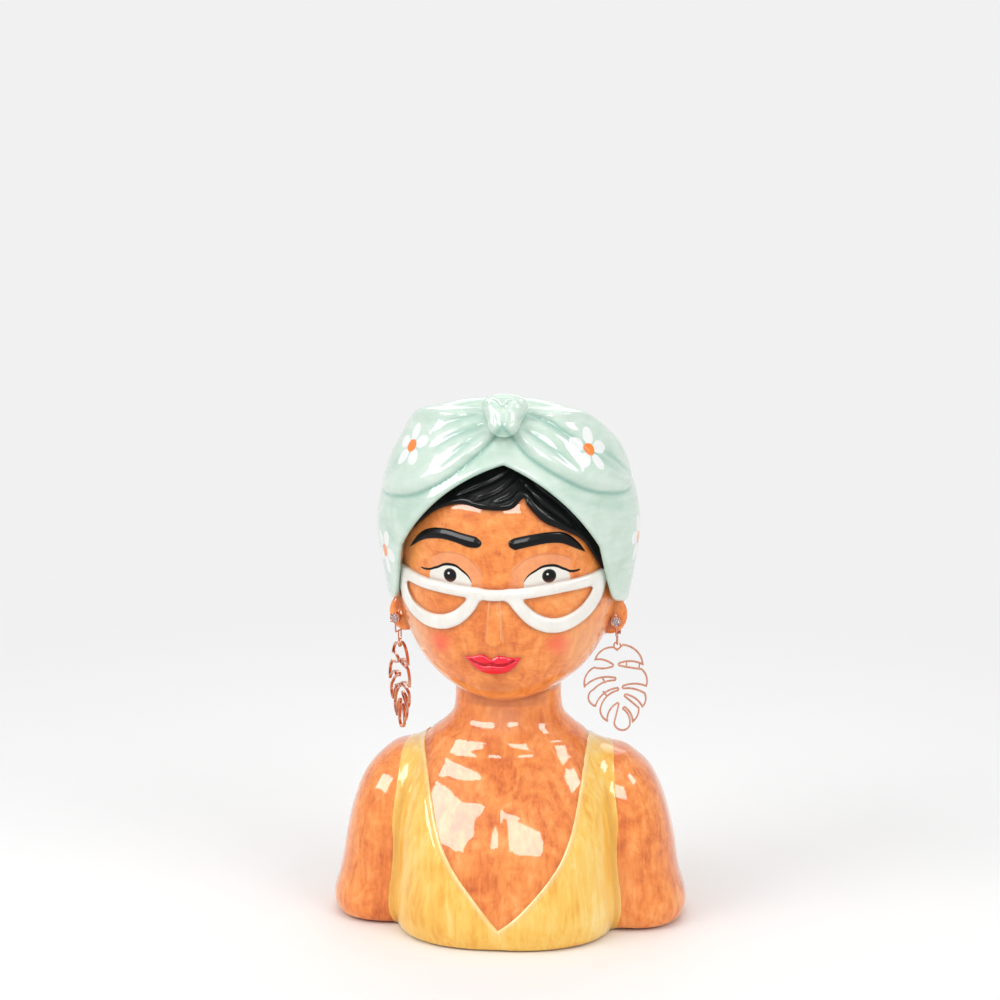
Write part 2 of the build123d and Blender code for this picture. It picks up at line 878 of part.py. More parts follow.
for name, shape in parts.items():
    print(name, shape.is_valid, round(shape.volume, 1), len(shape.solids()))
    export_step(shape, f"parts/{name}.step")
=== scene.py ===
import math

import bpy
import numpy as np
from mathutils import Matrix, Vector


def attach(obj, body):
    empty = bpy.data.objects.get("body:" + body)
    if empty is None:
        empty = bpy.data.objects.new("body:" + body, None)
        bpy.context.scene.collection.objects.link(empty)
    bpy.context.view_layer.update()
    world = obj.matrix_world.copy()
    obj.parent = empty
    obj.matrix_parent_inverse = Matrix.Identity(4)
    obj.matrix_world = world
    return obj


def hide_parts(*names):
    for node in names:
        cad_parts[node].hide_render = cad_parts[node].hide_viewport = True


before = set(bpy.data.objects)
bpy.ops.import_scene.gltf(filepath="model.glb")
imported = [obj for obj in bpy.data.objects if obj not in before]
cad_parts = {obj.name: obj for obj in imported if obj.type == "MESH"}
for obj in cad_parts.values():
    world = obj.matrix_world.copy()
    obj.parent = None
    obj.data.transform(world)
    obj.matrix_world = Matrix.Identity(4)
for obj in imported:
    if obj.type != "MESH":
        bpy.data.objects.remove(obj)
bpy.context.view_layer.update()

# All shapes are worked out in millimetres and turned to metres when a mesh is made.
MM = 0.001
CHUNK = 300000          # points worked out at once

# Sizes of the casting that the fields below share
CHEST_TOP = 100.0
ARM_TOP, ARM_REACH, ARM_ROOT, ARM_HALF, ARM_Y = 90.0, 89.2, 34.0, 34.0, 8.0
FLOOR_THICKNESS, CHEST_WALL = 8.0, 6.5
SKIN_TOP = 237.0
EAR_CENTRE, EAR_HALF = (51.2, -5.0, 157.4), (8.7, 4.2, 9.9)
BORE_X, BORE_Y, BORE_Z, BORE_RADIUS = 54.8, -5.0, 154.8, 0.75
FACE_X = -2.0           # the face's middle line, a little left of the head's
NOSE_TOP, NOSE_LENGTH, NOSE_FRONT, NOSE_REACH = 176.0, 27.0, -57.6, 3.2
OPENING_HALF, OPENING_TOP, OPENING_HEIGHT = 53.5, 237.5, 82.7
WRAP_FOOT, WRAP_FALL = 146.0, 26.0 / 126.4
RIM_Z, RIM_Y, RIM_FALL = 270.2, -31.0, 0.27
FOLD_RISE, CREASE_RISE = 3.7, 0.75
KNOT_FOOT, KNOT_LEAN, KNOT_LENGTH, KNOT_X, KNOT_Y = (2.0, -57.3, 247.0), 33.0, 27.0, 11.0, 7.6
CAMISOLE_RISE = 0.55


# Section tables: foot, height, half width, front and back, then their shares by share of height.
# They are the CAD's, apart from the knot's.

CHEST = (0.0, 100.0, 56.4, 62.0, 47.0, [
    (0.000, 0.968, 0.971, 0.962), (0.030, 0.996, 0.998, 0.996), (0.280, 1.000, 0.994, 1.000),
    (0.480, 0.986, 0.942, 0.983), (0.630, 0.954, 0.858, 0.923), (0.760, 0.894, 0.752, 0.830),
    (0.850, 0.816, 0.645, 0.736), (0.910, 0.730, 0.565, 0.660), (0.955, 0.649, 0.506, 0.600),
    (1.000, 0.567, 0.468, 0.540)])
ARM = [
    (0.000, 0.978, 0.941), (0.033, 1.000, 1.000), (0.222, 0.984, 1.000), (0.444, 0.942, 0.982),
    (0.644, 0.896, 0.929), (0.778, 0.844, 0.841), (0.867, 0.784, 0.724), (0.933, 0.711, 0.571),
    (0.978, 0.629, 0.371), (1.000, 0.556, 0.176)]
NECK = (97.0, 48.0, 34.0, 30.0, 27.0, [
    (0.000, 1.000, 1.000, 1.000), (0.080, 0.900, 0.940, 0.930), (0.220, 0.815, 0.900, 0.880),
    (0.420, 0.785, 0.900, 0.860), (0.650, 0.800, 0.960, 0.930), (1.000, 0.880, 1.030, 1.040)])
HEAD = (119.0, 125.0, 56.0, 57.6, 57.0, [
    (0.000, 0.210, 0.660, 0.070), (0.024, 0.375, 0.764, 0.228), (0.064, 0.546, 0.858, 0.411),
    (0.120, 0.695, 0.924, 0.579), (0.184, 0.806, 0.965, 0.737), (0.264, 0.898, 0.990, 0.870),
    (0.376, 0.970, 1.000, 0.965), (0.520, 1.000, 1.000, 1.000), (0.672, 0.972, 0.976, 0.982),
    (0.808, 0.880, 0.899, 0.912), (0.920, 0.730, 0.774, 0.789), (1.000, 0.570, 0.625, 0.632)])
WRAP = (146.0, 118.0, 66.0, 62.0, 64.4, [
    (0.000, 0.800, 0.750, 0.810), (0.085, 0.872, 0.850, 0.900), (0.186, 0.924, 0.925, 0.960),
    (0.305, 0.963, 0.972, 0.990), (0.441, 1.000, 1.000, 1.000), (0.559, 0.992, 1.000, 0.990),
    (0.678, 0.936, 0.955, 0.945), (0.780, 0.850, 0.875, 0.865), (0.864, 0.746, 0.780, 0.760),
    (0.932, 0.630, 0.680, 0.640), (0.975, 0.520, 0.590, 0.510), (1.000, 0.400, 0.490, 0.360)])
HOLLOW = (97.0, 118.0, 36.0, 63.0, 63.0, [
    (-0.085, 0.670, 0.390, 0.320), (0.025, 0.625, 0.365, 0.300), (0.144, 0.585, 0.345, 0.275),
    (0.246, 0.670, 0.430, 0.305), (0.330, 0.900, 0.600, 0.445), (0.432, 1.120, 0.710, 0.630),
    (0.550, 1.240, 0.775, 0.755), (0.703, 1.300, 0.800, 0.840), (0.873, 1.340, 0.790, 0.885),
    (1.008, 1.330, 0.745, 0.880), (1.127, 1.270, 0.640, 0.830), (1.229, 1.150, 0.490, 0.765),
    (1.314, 1.040, 0.370, 0.705), (1.398, 1.000, 0.317, 0.683), (1.500, 1.000, 0.317, 0.683)])
KNOT = [(0.00, 0.60, 0.50), (0.22, 0.62, 0.64), (0.50, 0.74, 0.82), (0.76, 1.00, 0.98),
        (0.92, 1.06, 0.86), (1.00, 1.00, 0.55)]


# Distance fields

def lookup(rows, samples=1500):
    """Natural cubic through each column of a table, as a fine table of values and slopes."""
    table = np.array(rows, float)
    x, y = table[:, 0], table[:, 1:]
    n, h = len(x), np.diff(x)
    a, r = np.eye(n), np.zeros_like(y)
    for i in range(1, n - 1):
        a[i, i - 1:i + 2] = h[i - 1], 2 * (h[i - 1] + h[i]), h[i]
        r[i] = 6 * ((y[i + 1] - y[i]) / h[i] - (y[i] - y[i - 1]) / h[i - 1])
    m = np.linalg.solve(a, r)
    s = np.linspace(x[0], x[-1], samples + 1)
    i = np.clip(np.searchsorted(x, s) - 1, 0, n - 2)
    t, u, w = (s - x[i])[:, None], (x[i + 1] - s)[:, None], h[i][:, None]
    p, q = y[i] / w - m[i] * w / 6, y[i + 1] / w - m[i + 1] * w / 6
    value = (m[i] * u ** 3 + m[i + 1] * t ** 3) / (6 * w) + p * u + q * t
    slope = (m[i + 1] * t ** 2 - m[i] * u ** 2) / (2 * w) - p + q
    return x[0], x[-1], np.hstack([value, slope])


def read(found, at):
    first, last, table = found
    s = np.clip((at - first) / (last - first), 0, 1) * (len(table) - 1)
    i = np.minimum(s.astype(np.int64), len(table) - 2)
    f = (s - i)[:, None]
    return table[i] * (1 - f) + table[i + 1] * f


class Stack:
    """A loft of ovals or rounded blocks up Z: half width, front and back by height."""

    def __init__(self, spec, power=2.0):
        self.foot, self.height, self.width, self.front, self.back, rows = spec
        self.found = lookup(rows)
        self.power = power

    def sides(self, p, grow=0.0):
        v = read(self.found, (p[:, 2] - self.foot) / self.height)
        a = v[:, 0] * self.width + grow
        f, b = v[:, 1] * self.front + grow, v[:, 2] * self.back + grow
        x, y = p[:, 0], p[:, 1] - (b - f) / 2
        ex, ey = np.abs(x) / a, np.abs(y) / ((f + b) / 2)
        s = (ex ** self.power + ey ** self.power) ** (1 / self.power) + 1e-9
        rho = np.hypot(x, y) + 1e-6
        gx = ex * ex / (ex * ex + ey * ey + 1e-12)
        run = np.where(y < 0, v[:, 4] * self.front, v[:, 5] * self.back)
        slope = (gx * v[:, 3] * self.width + (1 - gx) * run) / self.height
        return (rho - rho / s) / np.sqrt(1 + np.clip(slope, -6, 6) ** 2)

    def __call__(self, p, grow=0.0, soft=1.0, low=None, high=None):
        d = self.sides(p, grow)
        low = self.foot if low is None else low
        high = self.foot + self.height if high is None else high
        d = both(d, low - p[:, 2], soft)
        return both(d, p[:, 2] - high, soft)


def join(a, b, k):
    h = np.clip(0.5 + 0.5 * (b - a) / k, 0, 1)
    return b + (a - b) * h - k * h * (1 - h)


def both(a, b, k):
    return -join(-a, -b, k)


def cut(a, b, k):
    return -join(-a, b, k)


def smooth(a, b, x):
    t = np.clip((x - a) / (b - a), 0, 1)
    return t * t * (3 - 2 * t)


def bell(x, width):
    return np.exp(-(x / width) ** 2)


def bump(x, z, cx, cz, rx, rz):
    return np.exp(-((x - cx) / rx) ** 2 - ((z - cz) / rz) ** 2)


def ball(p, centre, radii):
    q = (p - np.array(centre)) / np.array(radii)
    r = np.sqrt((q * q).sum(1)) + 1e-9
    g = np.sqrt(((q / np.array(radii)) ** 2).sum(1)) + 1e-9
    return r * (r - 1) / g


# Outlines in the front view

def arc(a, b, c, n=24):
    (ax, ay), (bx, by), (cx, cy) = a, b, c
    d = 2 * (ax * (by - cy) + bx * (cy - ay) + cx * (ay - by))
    aa, bb, cc = ax * ax + ay * ay, bx * bx + by * by, cx * cx + cy * cy
    ux = (aa * (by - cy) + bb * (cy - ay) + cc * (ay - by)) / d
    uy = (aa * (cx - bx) + bb * (ax - cx) + cc * (bx - ax)) / d
    r = math.hypot(ax - ux, ay - uy)
    t0, t1, t2 = (math.atan2(y - uy, x - ux) for x, y in (a, b, c))
    turn = 2 * math.pi
    up1, up2 = (t1 - t0) % turn, (t2 - t0) % turn
    sweep = up2 if up1 < up2 else up2 - turn
    t = t0 + sweep * np.linspace(0, 1, n)
    return list(zip(ux + r * np.cos(t), uy + r * np.sin(t)))


def flowing(points, per=10):
    """Catmull-Rom curve through the points."""
    p = np.array(points, float)
    p = np.vstack([2 * p[0] - p[1], p, 2 * p[-1] - p[-2]])
    out = []
    for i in range(1, len(p) - 2):
        t = np.linspace(0, 1, per, endpoint=False)[:, None]
        out.append(0.5 * (2 * p[i] + (p[i + 1] - p[i - 1]) * t
                          + (2 * p[i - 1] - 5 * p[i] + 4 * p[i + 1] - p[i + 2]) * t ** 2
                          + (3 * p[i] - p[i - 1] - 3 * p[i + 1] + p[i + 2]) * t ** 3))
    return np.vstack(out + [p[-2:-1]])


def near_line(q, line, widths=None, closed=False):
    """Distance from points to a polyline, less its half width where given, and the share along it."""
    best = np.full(len(q), 1e9)
    along = np.zeros(len(q))
    n = len(line)
    last = n if closed else n - 1
    for i in range(last):
        a, b = line[i], line[(i + 1) % n]
        d = b - a
        t = np.clip(((q - a) @ d) / (d @ d + 1e-12), 0, 1)
        gap = np.hypot(q[:, 0] - a[0] - t * d[0], q[:, 1] - a[1] - t * d[1])
        if widths is not None:
            gap = gap - (widths[i] + (widths[i + 1] - widths[i]) * t)
        nearer = gap < best
        best = np.where(nearer, gap, best)
        along = np.where(nearer, (i + t) / last, along)
    return best, along


class Chart:
    """A function of x and z kept on a fine grid, read back smoothly."""

    def __init__(self, make, low, high, step):
        self.low, self.step = np.array(low, float), step
        n = np.ceil((np.array(high, float) - self.low) / step).astype(int) + 1
        gx, gz = np.meshgrid(np.arange(n[0]), np.arange(n[1]), indexing="ij")
        q = np.stack([gx.ravel(), gz.ravel()], 1) * step + self.low
        self.grid = make(q).reshape(n)

    def __call__(self, x, z):
        n = self.grid.shape
        s = np.clip((x - self.low[0]) / self.step, 0, n[0] - 1.001)
        t = np.clip((z - self.low[1]) / self.step, 0, n[1] - 1.001)
        i, j = s.astype(np.int64), t.astype(np.int64)
        f, g = s - i, t - j
        c = self.grid
        return (c[i, j] * (1 - f) * (1 - g) + c[i + 1, j] * f * (1 - g)
                + c[i, j + 1] * (1 - f) * g + c[i + 1, j + 1] * f * g)


def inside(q, line):
    found = np.zeros(len(q), bool)
    n = len(line)
    for i in range(n):
        (ax, az), (bx, bz) = line[i], line[(i + 1) % n]
        crosses = (az > q[:, 1]) != (bz > q[:, 1])
        at = ax + (q[:, 1] - az) * (bx - ax) / (bz - az if bz != az else 1e-12)
        found ^= crosses & (q[:, 0] < at)
    return found


def region(line, step=0.5, pad=8.0):
    """Signed distance to a closed outline, below zero inside."""
    line = np.array(line, float)

    def make(q):
        gap, _ = near_line(q, line, closed=True)
        return np.where(inside(q, line), -gap, gap)

    return Chart(make, line.min(0) - pad, line.max(0) + pad, step)


# The casting

chest = Stack(CHEST, 2.45)
neck = Stack(NECK)
head = Stack(HEAD)
wrap = Stack(WRAP)
hollow = Stack(HOLLOW)
arm_found = lookup(ARM)
knot_found = lookup(KNOT)
EAR_HOLE = {-1: -14.0, 1: -4.0}


def arm(p, side):
    v = read(arm_found, p[:, 2] / ARM_TOP)
    outer, half = v[:, 0] * ARM_REACH, v[:, 1] * ARM_HALF
    x, y = side * p[:, 0] - (outer + ARM_ROOT) / 2, p[:, 1] - ARM_Y
    ex, ey = np.abs(x) / ((outer - ARM_ROOT) / 2), np.abs(y) / half
    s = (ex ** 2.4 + ey ** 2.4) ** (1 / 2.4) + 1e-9
    rho = np.hypot(x, y) + 1e-6
    gx = ex * ex / (ex * ex + ey * ey + 1e-12)
    slope = gx * np.where(x > 0, v[:, 2], 0) + (1 - gx) * v[:, 3] * ARM_HALF / ARM_TOP
    d = (rho - rho / s) / np.sqrt(1 + np.clip(slope, -5, 5) ** 2)
    return both(both(d, p[:, 2] - ARM_TOP, 5.0), -p[:, 2], 1.5)


def body_relief(p):
    """Bust, breastbone, collarbones and the hollow between them, as depth below the plain form."""
    x, z = p[:, 0], p[:, 2]
    front = smooth(5, -25, p[:, 1])
    r = 1.0 - 1.9 * bump(np.abs(x), z, 24, 28, 23, 22) + 1.9 * bump(np.abs(x), z, 20, 72, 27, 19)
    r += 0.6 * bump(x, z, 0, 34, 2.6, 24)
    bone = 82.5 + 0.20 * np.abs(x)
    along = smooth(4, 12, np.abs(x)) * smooth(50, 34, np.abs(x))
    r -= 0.45 * bell(z - bone, 3.6) * along
    r += 0.35 * bell(z - bone + 8.0, 5.5) * along
    r += 0.8 * bump(x, z, 0, 87, 6, 8)
    return r * front


def uneven(p):
    """The slow waves of a thick hand-dipped glaze."""
    x, y, z = p.T
    u = 1.2 * x + 0.7 * y
    w = np.sin(u / 4.3 + 1.7 * np.sin(z / 9.1)) * np.sin(z / 5.7 + 1.3 * np.sin(u / 8.3) + 0.6)
    v = np.sin(u / 9.7 + z / 13.0 + 2.0) + np.sin(z / 7.9 - y / 8.7 + 1.1)
    return 0.055 * w + 0.05 * v


def face_relief(p):
    """Cheeks, eye hollows, chin and the channel over the lip, as depth below the plain form."""
    x, z = p[:, 0] - FACE_X, p[:, 2]
    front = smooth(-8, -30, p[:, 1])
    r = 0.5 - 0.7 * bump(np.abs(x), z, 27, 152, 12, 12)
    r += 0.9 * bump(np.abs(x), z, 23, 186, 13, 8)
    r -= 1.5 * bump(x, z, 0, 218, 48, 11)
    r -= 0.5 * bump(x, z, 0, 127, 9, 5)
    r += 0.6 * bump(x, z, 0, 132.5, 9, 2.5)
    r += 0.55 * bump(x, z, 0.6, 149.5, 1.5, 3.2)
    r -= 0.35 * bump(np.abs(x - 0.6), z, 3.4, 149.5, 1.5, 3.2)
    return r * front


def nose(p):
    """A straight ridge with a soft round base."""
    z = p[:, 2]
    drop = np.clip((NOSE_TOP - z) / NOSE_LENGTH, 0, 1)
    at = [0, 0.25, 0.55, 0.80, 0.93, 1]
    reach = np.interp(drop, at, [-0.5, 0.25, 0.70, 1.0, 0.90, 0.2]) * NOSE_REACH
    half = np.interp(drop, at, [1.6, 2.4, 3.1, 4.0, 4.0, 2.6])
    x = np.abs(p[:, 0] - FACE_X)
    d = both(x - half, NOSE_FRONT - reach - p[:, 1], 0.8)
    d = both(d, z - NOSE_TOP - 2.0, 2.0)
    d = both(d, 150.6 + 0.12 * x * x - z, 1.6)
    return both(d, p[:, 1] + 40.0, 1.0)


def ear(p, side):
    d = ball(p, (side * EAR_CENTRE[0], *EAR_CENTRE[1:]), EAR_HALF)
    dish = ball(p, (side * 54.0, -9.8, 161.0), (3.0, 2.2, 4.6))
    return cut(d, dish, 1.6)


def bore(p, side):
    turn = math.radians(EAR_HOLE[side])
    dx, dy = p[:, 0] - side * BORE_X, p[:, 1] - BORE_Y
    across = dx * math.cos(turn) + dy * math.sin(turn)
    return np.hypot(across, p[:, 2] - BORE_Z) - BORE_RADIUS


def inner(p, grow=0.0):
    return hollow(p, grow, 0.8, high=300.0)


def chest_hollow(p):
    """The chest's own form, a wall smaller and squashed to start at the floor."""
    q = p.copy()
    q[:, 2] = (p[:, 2] - FLOOR_THICKNESS) / 0.855
    return both(chest(q, -CHEST_WALL, 1.5), FLOOR_THICKNESS - p[:, 2], 1.5)


def body_solid(p):
    """Chest, arms and neck before they are hollowed."""
    z = p[:, 2]
    d = both(chest(p, 0.0, 1.5, high=140.0), z - CHEST_TOP, 7.0)
    k = 1.6 + 8.5 * smooth(62, 88, z)
    for side in (-1, 1):
        d = join(d, arm(p, side), k)
    d = both(d + body_relief(p), -z, 1.5)
    return join(d, neck(p), 10.5)


def skull(p):
    return head(p, 0.0, 2.0) + face_relief(p)


def arm_gap(p):
    """How far a place is from the crease where an arm leaves the chest."""
    return np.abs(chest(p, 0.0, 1.5) - np.minimum(arm(p, -1), arm(p, 1)))


def skin(p):
    d = join(body_solid(p), skull(p), 3.2)
    for side in (-1, 1):
        d = join(d, ear(p, side), 2.0)
    d = join(d, nose(p), 1.2) + uneven(p)
    d = np.maximum(d, p[:, 2] - SKIN_TOP)
    d = cut(d, inner(p, 0.5), 0.6)
    d = cut(d, chest_hollow(p), 1.0)
    for side in (-1, 1):
        d = np.maximum(d, -bore(p, side))
    foot = both(chest.sides(p, -8.0), p[:, 2] - 1.6, 0.5)
    return cut(d, foot, 0.5)


# Headwrap: the face opening, the folds' lower edges and the creases are drawn in the front view.
def opening_point(share):
    return OPENING_HALF * share[0], OPENING_TOP - OPENING_HEIGHT * share[1]


peak = (2.0, OPENING_TOP)
right = [opening_point(s) for s in [(0.53, 0.20), (0.88, 0.49), (1.00, 0.90)]]
left = [opening_point(s) for s in [(-0.52, 0.19), (-0.91, 0.50), (-1.00, 0.90)]]
opening_line = (arc(peak, right[0], right[1])
                + [right[2], (OPENING_HALF, 128.0), (-OPENING_HALF, 128.0), left[2]]
                + arc(left[1], left[0], peak))
opening = region(opening_line, 0.5, 20.0)

FOLD_LEFT = [(2, 258), (-2, 252.5), (-8, 246.5), (-14.3, 241.2), (-28, 230.6), (-44, 222.8), (-62, 220.2),
             (-80, 221.0), (-96, 224.5), (-125, 232), (-150, 244), (-190, 262)]
FOLD_RIGHT = [(2, 258), (6, 252.5), (11, 247.0), (18, 240.8), (31, 232.6), (48, 225.0), (68, 222.2),
              (84, 223.4), (98, 227.0), (125, 234), (150, 245), (190, 262)]
CREASES = [
    ([(-10, 259.5), (-20, 259.5), (-31, 257), (-44, 251)], 1.0, 2.4),
    ([(-10, 255.5), (-19, 253.4), (-29, 250), (-40, 244)], 1.4, 2.1),
    ([(-9, 252.5), (-17, 248), (-25, 242), (-34, 234)], 1.4, 2.1),
    ([(-48, 246), (-60, 238), (-78, 227)], 0.7, 3.4),
    ([(11, 260), (20, 260), (31, 256.5), (45, 248), (60, 238), (78, 228)], 1.6, 2.1),
    ([(10, 255), (21, 250.5), (32, 243), (42, 234)], 1.3, 2.2),
    ([(9, 251.5), (14, 246), (20, 239.5)], 1.0, 1.9),
    ([(58, 244), (68, 239), (79, 232), (90, 226)], 1.3, 1.7),
    ([(60, 231), (74, 226.5), (90, 225)], 0.9, 1.9),
    ([(-90, 216), (-62, 214.5), (-44, 216.5), (-31, 220.5), (-18, 229.5)], 0.5, 2.4),
    ([(90, 217), (66, 216), (48, 218.5), (33, 224), (20, 232.5)], 0.5, 2.4),
]


def fold_gap(q):
    """Distance from the folds' lower edges, above zero on the folds."""
    best = np.full(len(q), 1e9)
    under = best.copy()
    for points, side in ((FOLD_LEFT, -1), (FOLD_RIGHT, 1)):
        line = np.array(flowing(points, 8))
        best = np.minimum(best, near_line(q, line)[0])
        x = line[:, 0] * side
        order = np.argsort(x)
        edge = np.interp(q[:, 0] * side, x[order], line[order, 1], left=258.0)
        under = np.where(q[:, 0] * side >= 2.0 * side, edge, under)
    return np.where(q[:, 1] > under, best, -best)


def pressed(lines, per, fade):
    """How deep lines are pressed in, each with its points, depth and width, fading along it."""
    def depth_at(q):
        total = np.zeros(len(q))
        for points, depth, width in lines:
            gap, along = near_line(q, flowing(points, per))
            total = np.maximum(total, depth * fade(along) * bell(gap, width))
        return total

    return depth_at


WRAP_LOW, WRAP_HIGH = (-215, 130), (215, 285)
fold_edge = Chart(fold_gap, WRAP_LOW, WRAP_HIGH, 0.6)
creases = Chart(pressed(CREASES, 6, lambda t: np.sin(np.pi * np.clip(0.12 + 0.88 * t, 0, 1)) ** 0.6),
                WRAP_LOW, WRAP_HIGH, 0.6)


def around(p):
    """Distance round the headwrap from its front, in millimetres, for a place's x and y."""
    return np.arctan2(p[:, 0] / 1.03, -p[:, 1]) * 62.0


def drape(p):
    """How far the folded cloth stands proud of the plain wrap."""
    u, z = around(p), p[:, 2]
    s = fold_edge(u, z)
    puff = 1 - (1 - np.clip((s + 0.6) / 10.0, 0, 1)) ** 3.8
    behind = smooth(150, 70, np.abs(u))
    rise = FOLD_RISE * puff * (0.20 + 0.80 * behind) * smooth(278, 256, z)
    rise -= creases(u, z) * CREASE_RISE
    rise -= 0.5 * smooth(7, 0, s) * smooth(-7, 0, s) * behind
    rise *= 1 - (0.55 - 0.40 * smooth(228, 242, z)) * smooth(60, 88, np.abs(u))
    rise += 3.0 * bell(z - 259, 9.0) * smooth(12, 42, np.abs(u)) * smooth(130, 55, u) * smooth(-140, -70, u)
    return rise - 0.3 * smooth(85, 100, np.abs(u))


def wrap_folds_behind(p):
    """Soft pleats of the cloth round the back."""
    u, z = around(p), p[:, 2]
    back = smooth(105, 150, np.abs(u))
    wave = np.sin((z + 0.10 * np.abs(u) + 6 * np.sin(u / 60.0)) / 11.0)
    return 0.35 * back * (wave - 1.3) * smooth(262, 240, z) * smooth(150, 175, z)


def knot(p):
    lean = math.radians(KNOT_LEAN)
    x, dy, dz = (p - np.array(KNOT_FOOT)).T
    y = dy * math.cos(lean) - dz * math.sin(lean)
    z = dy * math.sin(lean) + dz * math.cos(lean)
    v = read(knot_found, z / KNOT_LENGTH)
    ex, ey = np.abs(x) / (v[:, 0] * KNOT_X), np.abs(y) / (v[:, 1] * KNOT_Y)
    s = (ex ** 2.3 + ey ** 2.3) ** (1 / 2.3) + 1e-9
    rho = np.hypot(x, y) + 1e-6
    d = (rho - rho / s) * 0.93
    d = d + knot_creases(x, z) * smooth(3, -3, y)
    crown = z - 27.6 + 0.34 * np.sqrt(x * x + 4.0)
    foot = 6.4 + 0.04 * x * x - z
    return both(both(d, crown, 3.0), foot, 3.2)


KNOT_CREASES = [
    ([(-11, 17.5), (-5.5, 21.0), (-0.5, 16.5), (4.5, 20.5), (11, 17.0)], 0.9, 1.1),
    ([(-4.2, 15), (-3.6, 10), (-2.4, 5)], 0.8, 1.1),
    ([(3.8, 15), (3.4, 10), (2.2, 5)], 0.8, 1.1),
]


knot_creases = Chart(pressed(KNOT_CREASES, 6, lambda t: np.sin(np.pi * (0.1 + 0.8 * t))),
                     (-14, -2), (14, 30), 0.35)


def headwrap(p):
    x, y, z = p.T
    d = wrap(p, 0.0, 1.0, high=270.0)
    d = d - drape(p) - wrap_folds_behind(p) + uneven(p)
    middle = WRAP_FOOT + WRAP_FALL * WRAP[4]
    below = (middle + 3.4 - WRAP_FALL * y - z) / math.hypot(1, WRAP_FALL)
    fall = 0.0016 * x ** 2 + 0.0032 * np.clip(x - 8.0, 0, None) ** 2
    above = (z - RIM_Z + fall + RIM_FALL * (y - RIM_Y)) / math.hypot(1, RIM_FALL)
    d = both(both(d, below, 3.0), above, 7.0)
    d = cut(d, both(opening(x, z), y + 3.0, 1.0), 3.0)
    d = join(d, knot(p), 1.4)
    return cut(d, inner(p), 2.4)


# Raised features of the face, each sunk a little into the head
FEATURE_SINK = 1.2


def feature(p, outline, rise, edge, ground=None):
    base = skull(p) if ground is None else ground
    d = both(base - rise, -(base + FEATURE_SINK), 0.4)
    return both(both(d, outline, edge), p[:, 1] + 2.0, 0.5)


hair_low = flowing([opening_point(s) for s in [
    (-0.870, 0.440), (-0.730, 0.350), (-0.560, 0.270), (-0.345, 0.230), (-0.140, 0.255), (0.100, 0.252),
    (0.215, 0.190), (0.255, 0.235), (0.400, 0.330), (0.620, 0.400), (0.750, 0.465), (0.860, 0.590),
    (0.950, 0.705)]], 8)
hair_line = np.vstack([hair_low, [(70, 180), (70, 262), (-70, 262), (-70, hair_low[0][1])]])
hair_shape = region(hair_line, 0.4, 4.0)
STRANDS = [
    [(8, 236), (-4, 229), (-20, 222), (-34, 212)], [(9, 233), (0, 225), (-14, 219.5), (-26, 217)],
    [(10, 229), (5, 222.5), (-4, 219)], [(12, 232), (18, 226), (30, 216), (40, 203), (46, 190)],
    [(12, 227), (20, 219), (31, 210), (40, 198)], [(10, 235), (22, 227), (34, 216), (44, 203), (49, 190)],
]


def strand_depth(q):
    total = np.zeros(len(q))
    for points in STRANDS:
        gap, along = near_line(q, flowing(points, 8))
        total += 0.75 * bell(gap, 0.9) * np.sin(np.pi * np.clip(0.1 + 0.85 * along, 0, 1)) ** 0.5
    return np.minimum(total, 1.0)


strands = Chart(strand_depth, (-60, 170), (60, 245), 0.35)


def hair(p):
    x, z = p[:, 0], p[:, 2]
    gap = hair_shape(x, z)
    lock = 0.8 * bell(gap + 2.4, 1.7)
    rise = 1.5 + lock - strands(x, z) * smooth(-1.5, -4.0, gap)
    under_wrap = opening(x, z) - 2.5
    return feature(p, both(gap, under_wrap, 0.5), rise, 1.1)


def brow(side):
    if side < 0:
        top = [(-46.4, 194.0), (-40.7, 201.9), (-33.9, 205.7), (-25.8, 206.3), (-18.1, 204.8), (-11, 203.4)]
        low = [(-10.6, 198.0), (-14.9, 198.2), (-21.5, 200.1), (-29.3, 201.1), (-38.1, 199.4), (-46.4, 194.0)]
        end = [(-11, 203.4), (-8.4, 201.2), (-8.6, 199.2), (-10.6, 198.0)]
    else:
        top = [(40.9, 194.0), (36.8, 200.0), (30.8, 204.7), (23.0, 205.4), (14.7, 204.5), (7.2, 203.1)]
        low = [(7.8, 197.4), (14.8, 198.9), (23.1, 200.1), (29.6, 199.6), (35.5, 196.9), (40.9, 194.0)]
        end = [(7.2, 203.1), (4.9, 201.4), (5.2, 198.9), (7.8, 197.4)]
    shape = region(np.vstack([flowing(part, 6)[:-1] for part in (top, end, low)]), 0.25, 4.0)

    def field(p):
        gap = shape(p[:, 0], p[:, 2])
        crown = 0.45 + 0.95 * np.sqrt(np.clip(-gap / 2.6, 0, 1))
        return feature(p, gap, crown, 0.7)

    return field


LIP_TOP = [(-17.0, 144.9), (-12.8, 145.2), (-8.5, 146.4), (-6.1, 145.7), (-3.2, 144.3), (-0.4, 145.9),
           (2.6, 145.7), (6.6, 145.0), (10.8, 145.0)]
LIP_LOW = [(10.8, 145.0), (7.8, 140.4), (2.9, 137.2), (-3.2, 136.4), (-9.0, 137.6), (-13.1, 141.0),
           (-17.0, 144.9)]
MOUTH = [(-13.6, 143.6), (-10.1, 142.0), (-6.2, 141.4), (-3.3, 141.9), (-0.4, 141.4), (4.0, 141.9),
         (7.4, 143.6)]
lip_shape = region(np.vstack([flowing(LIP_TOP, 6)[:-1], flowing(LIP_LOW, 6)[:-1]]), 0.25, 4.0)
mouth_line = Chart(lambda q: near_line(q, flowing(MOUTH, 6))[0], (-25, 130), (20, 152), 0.25)


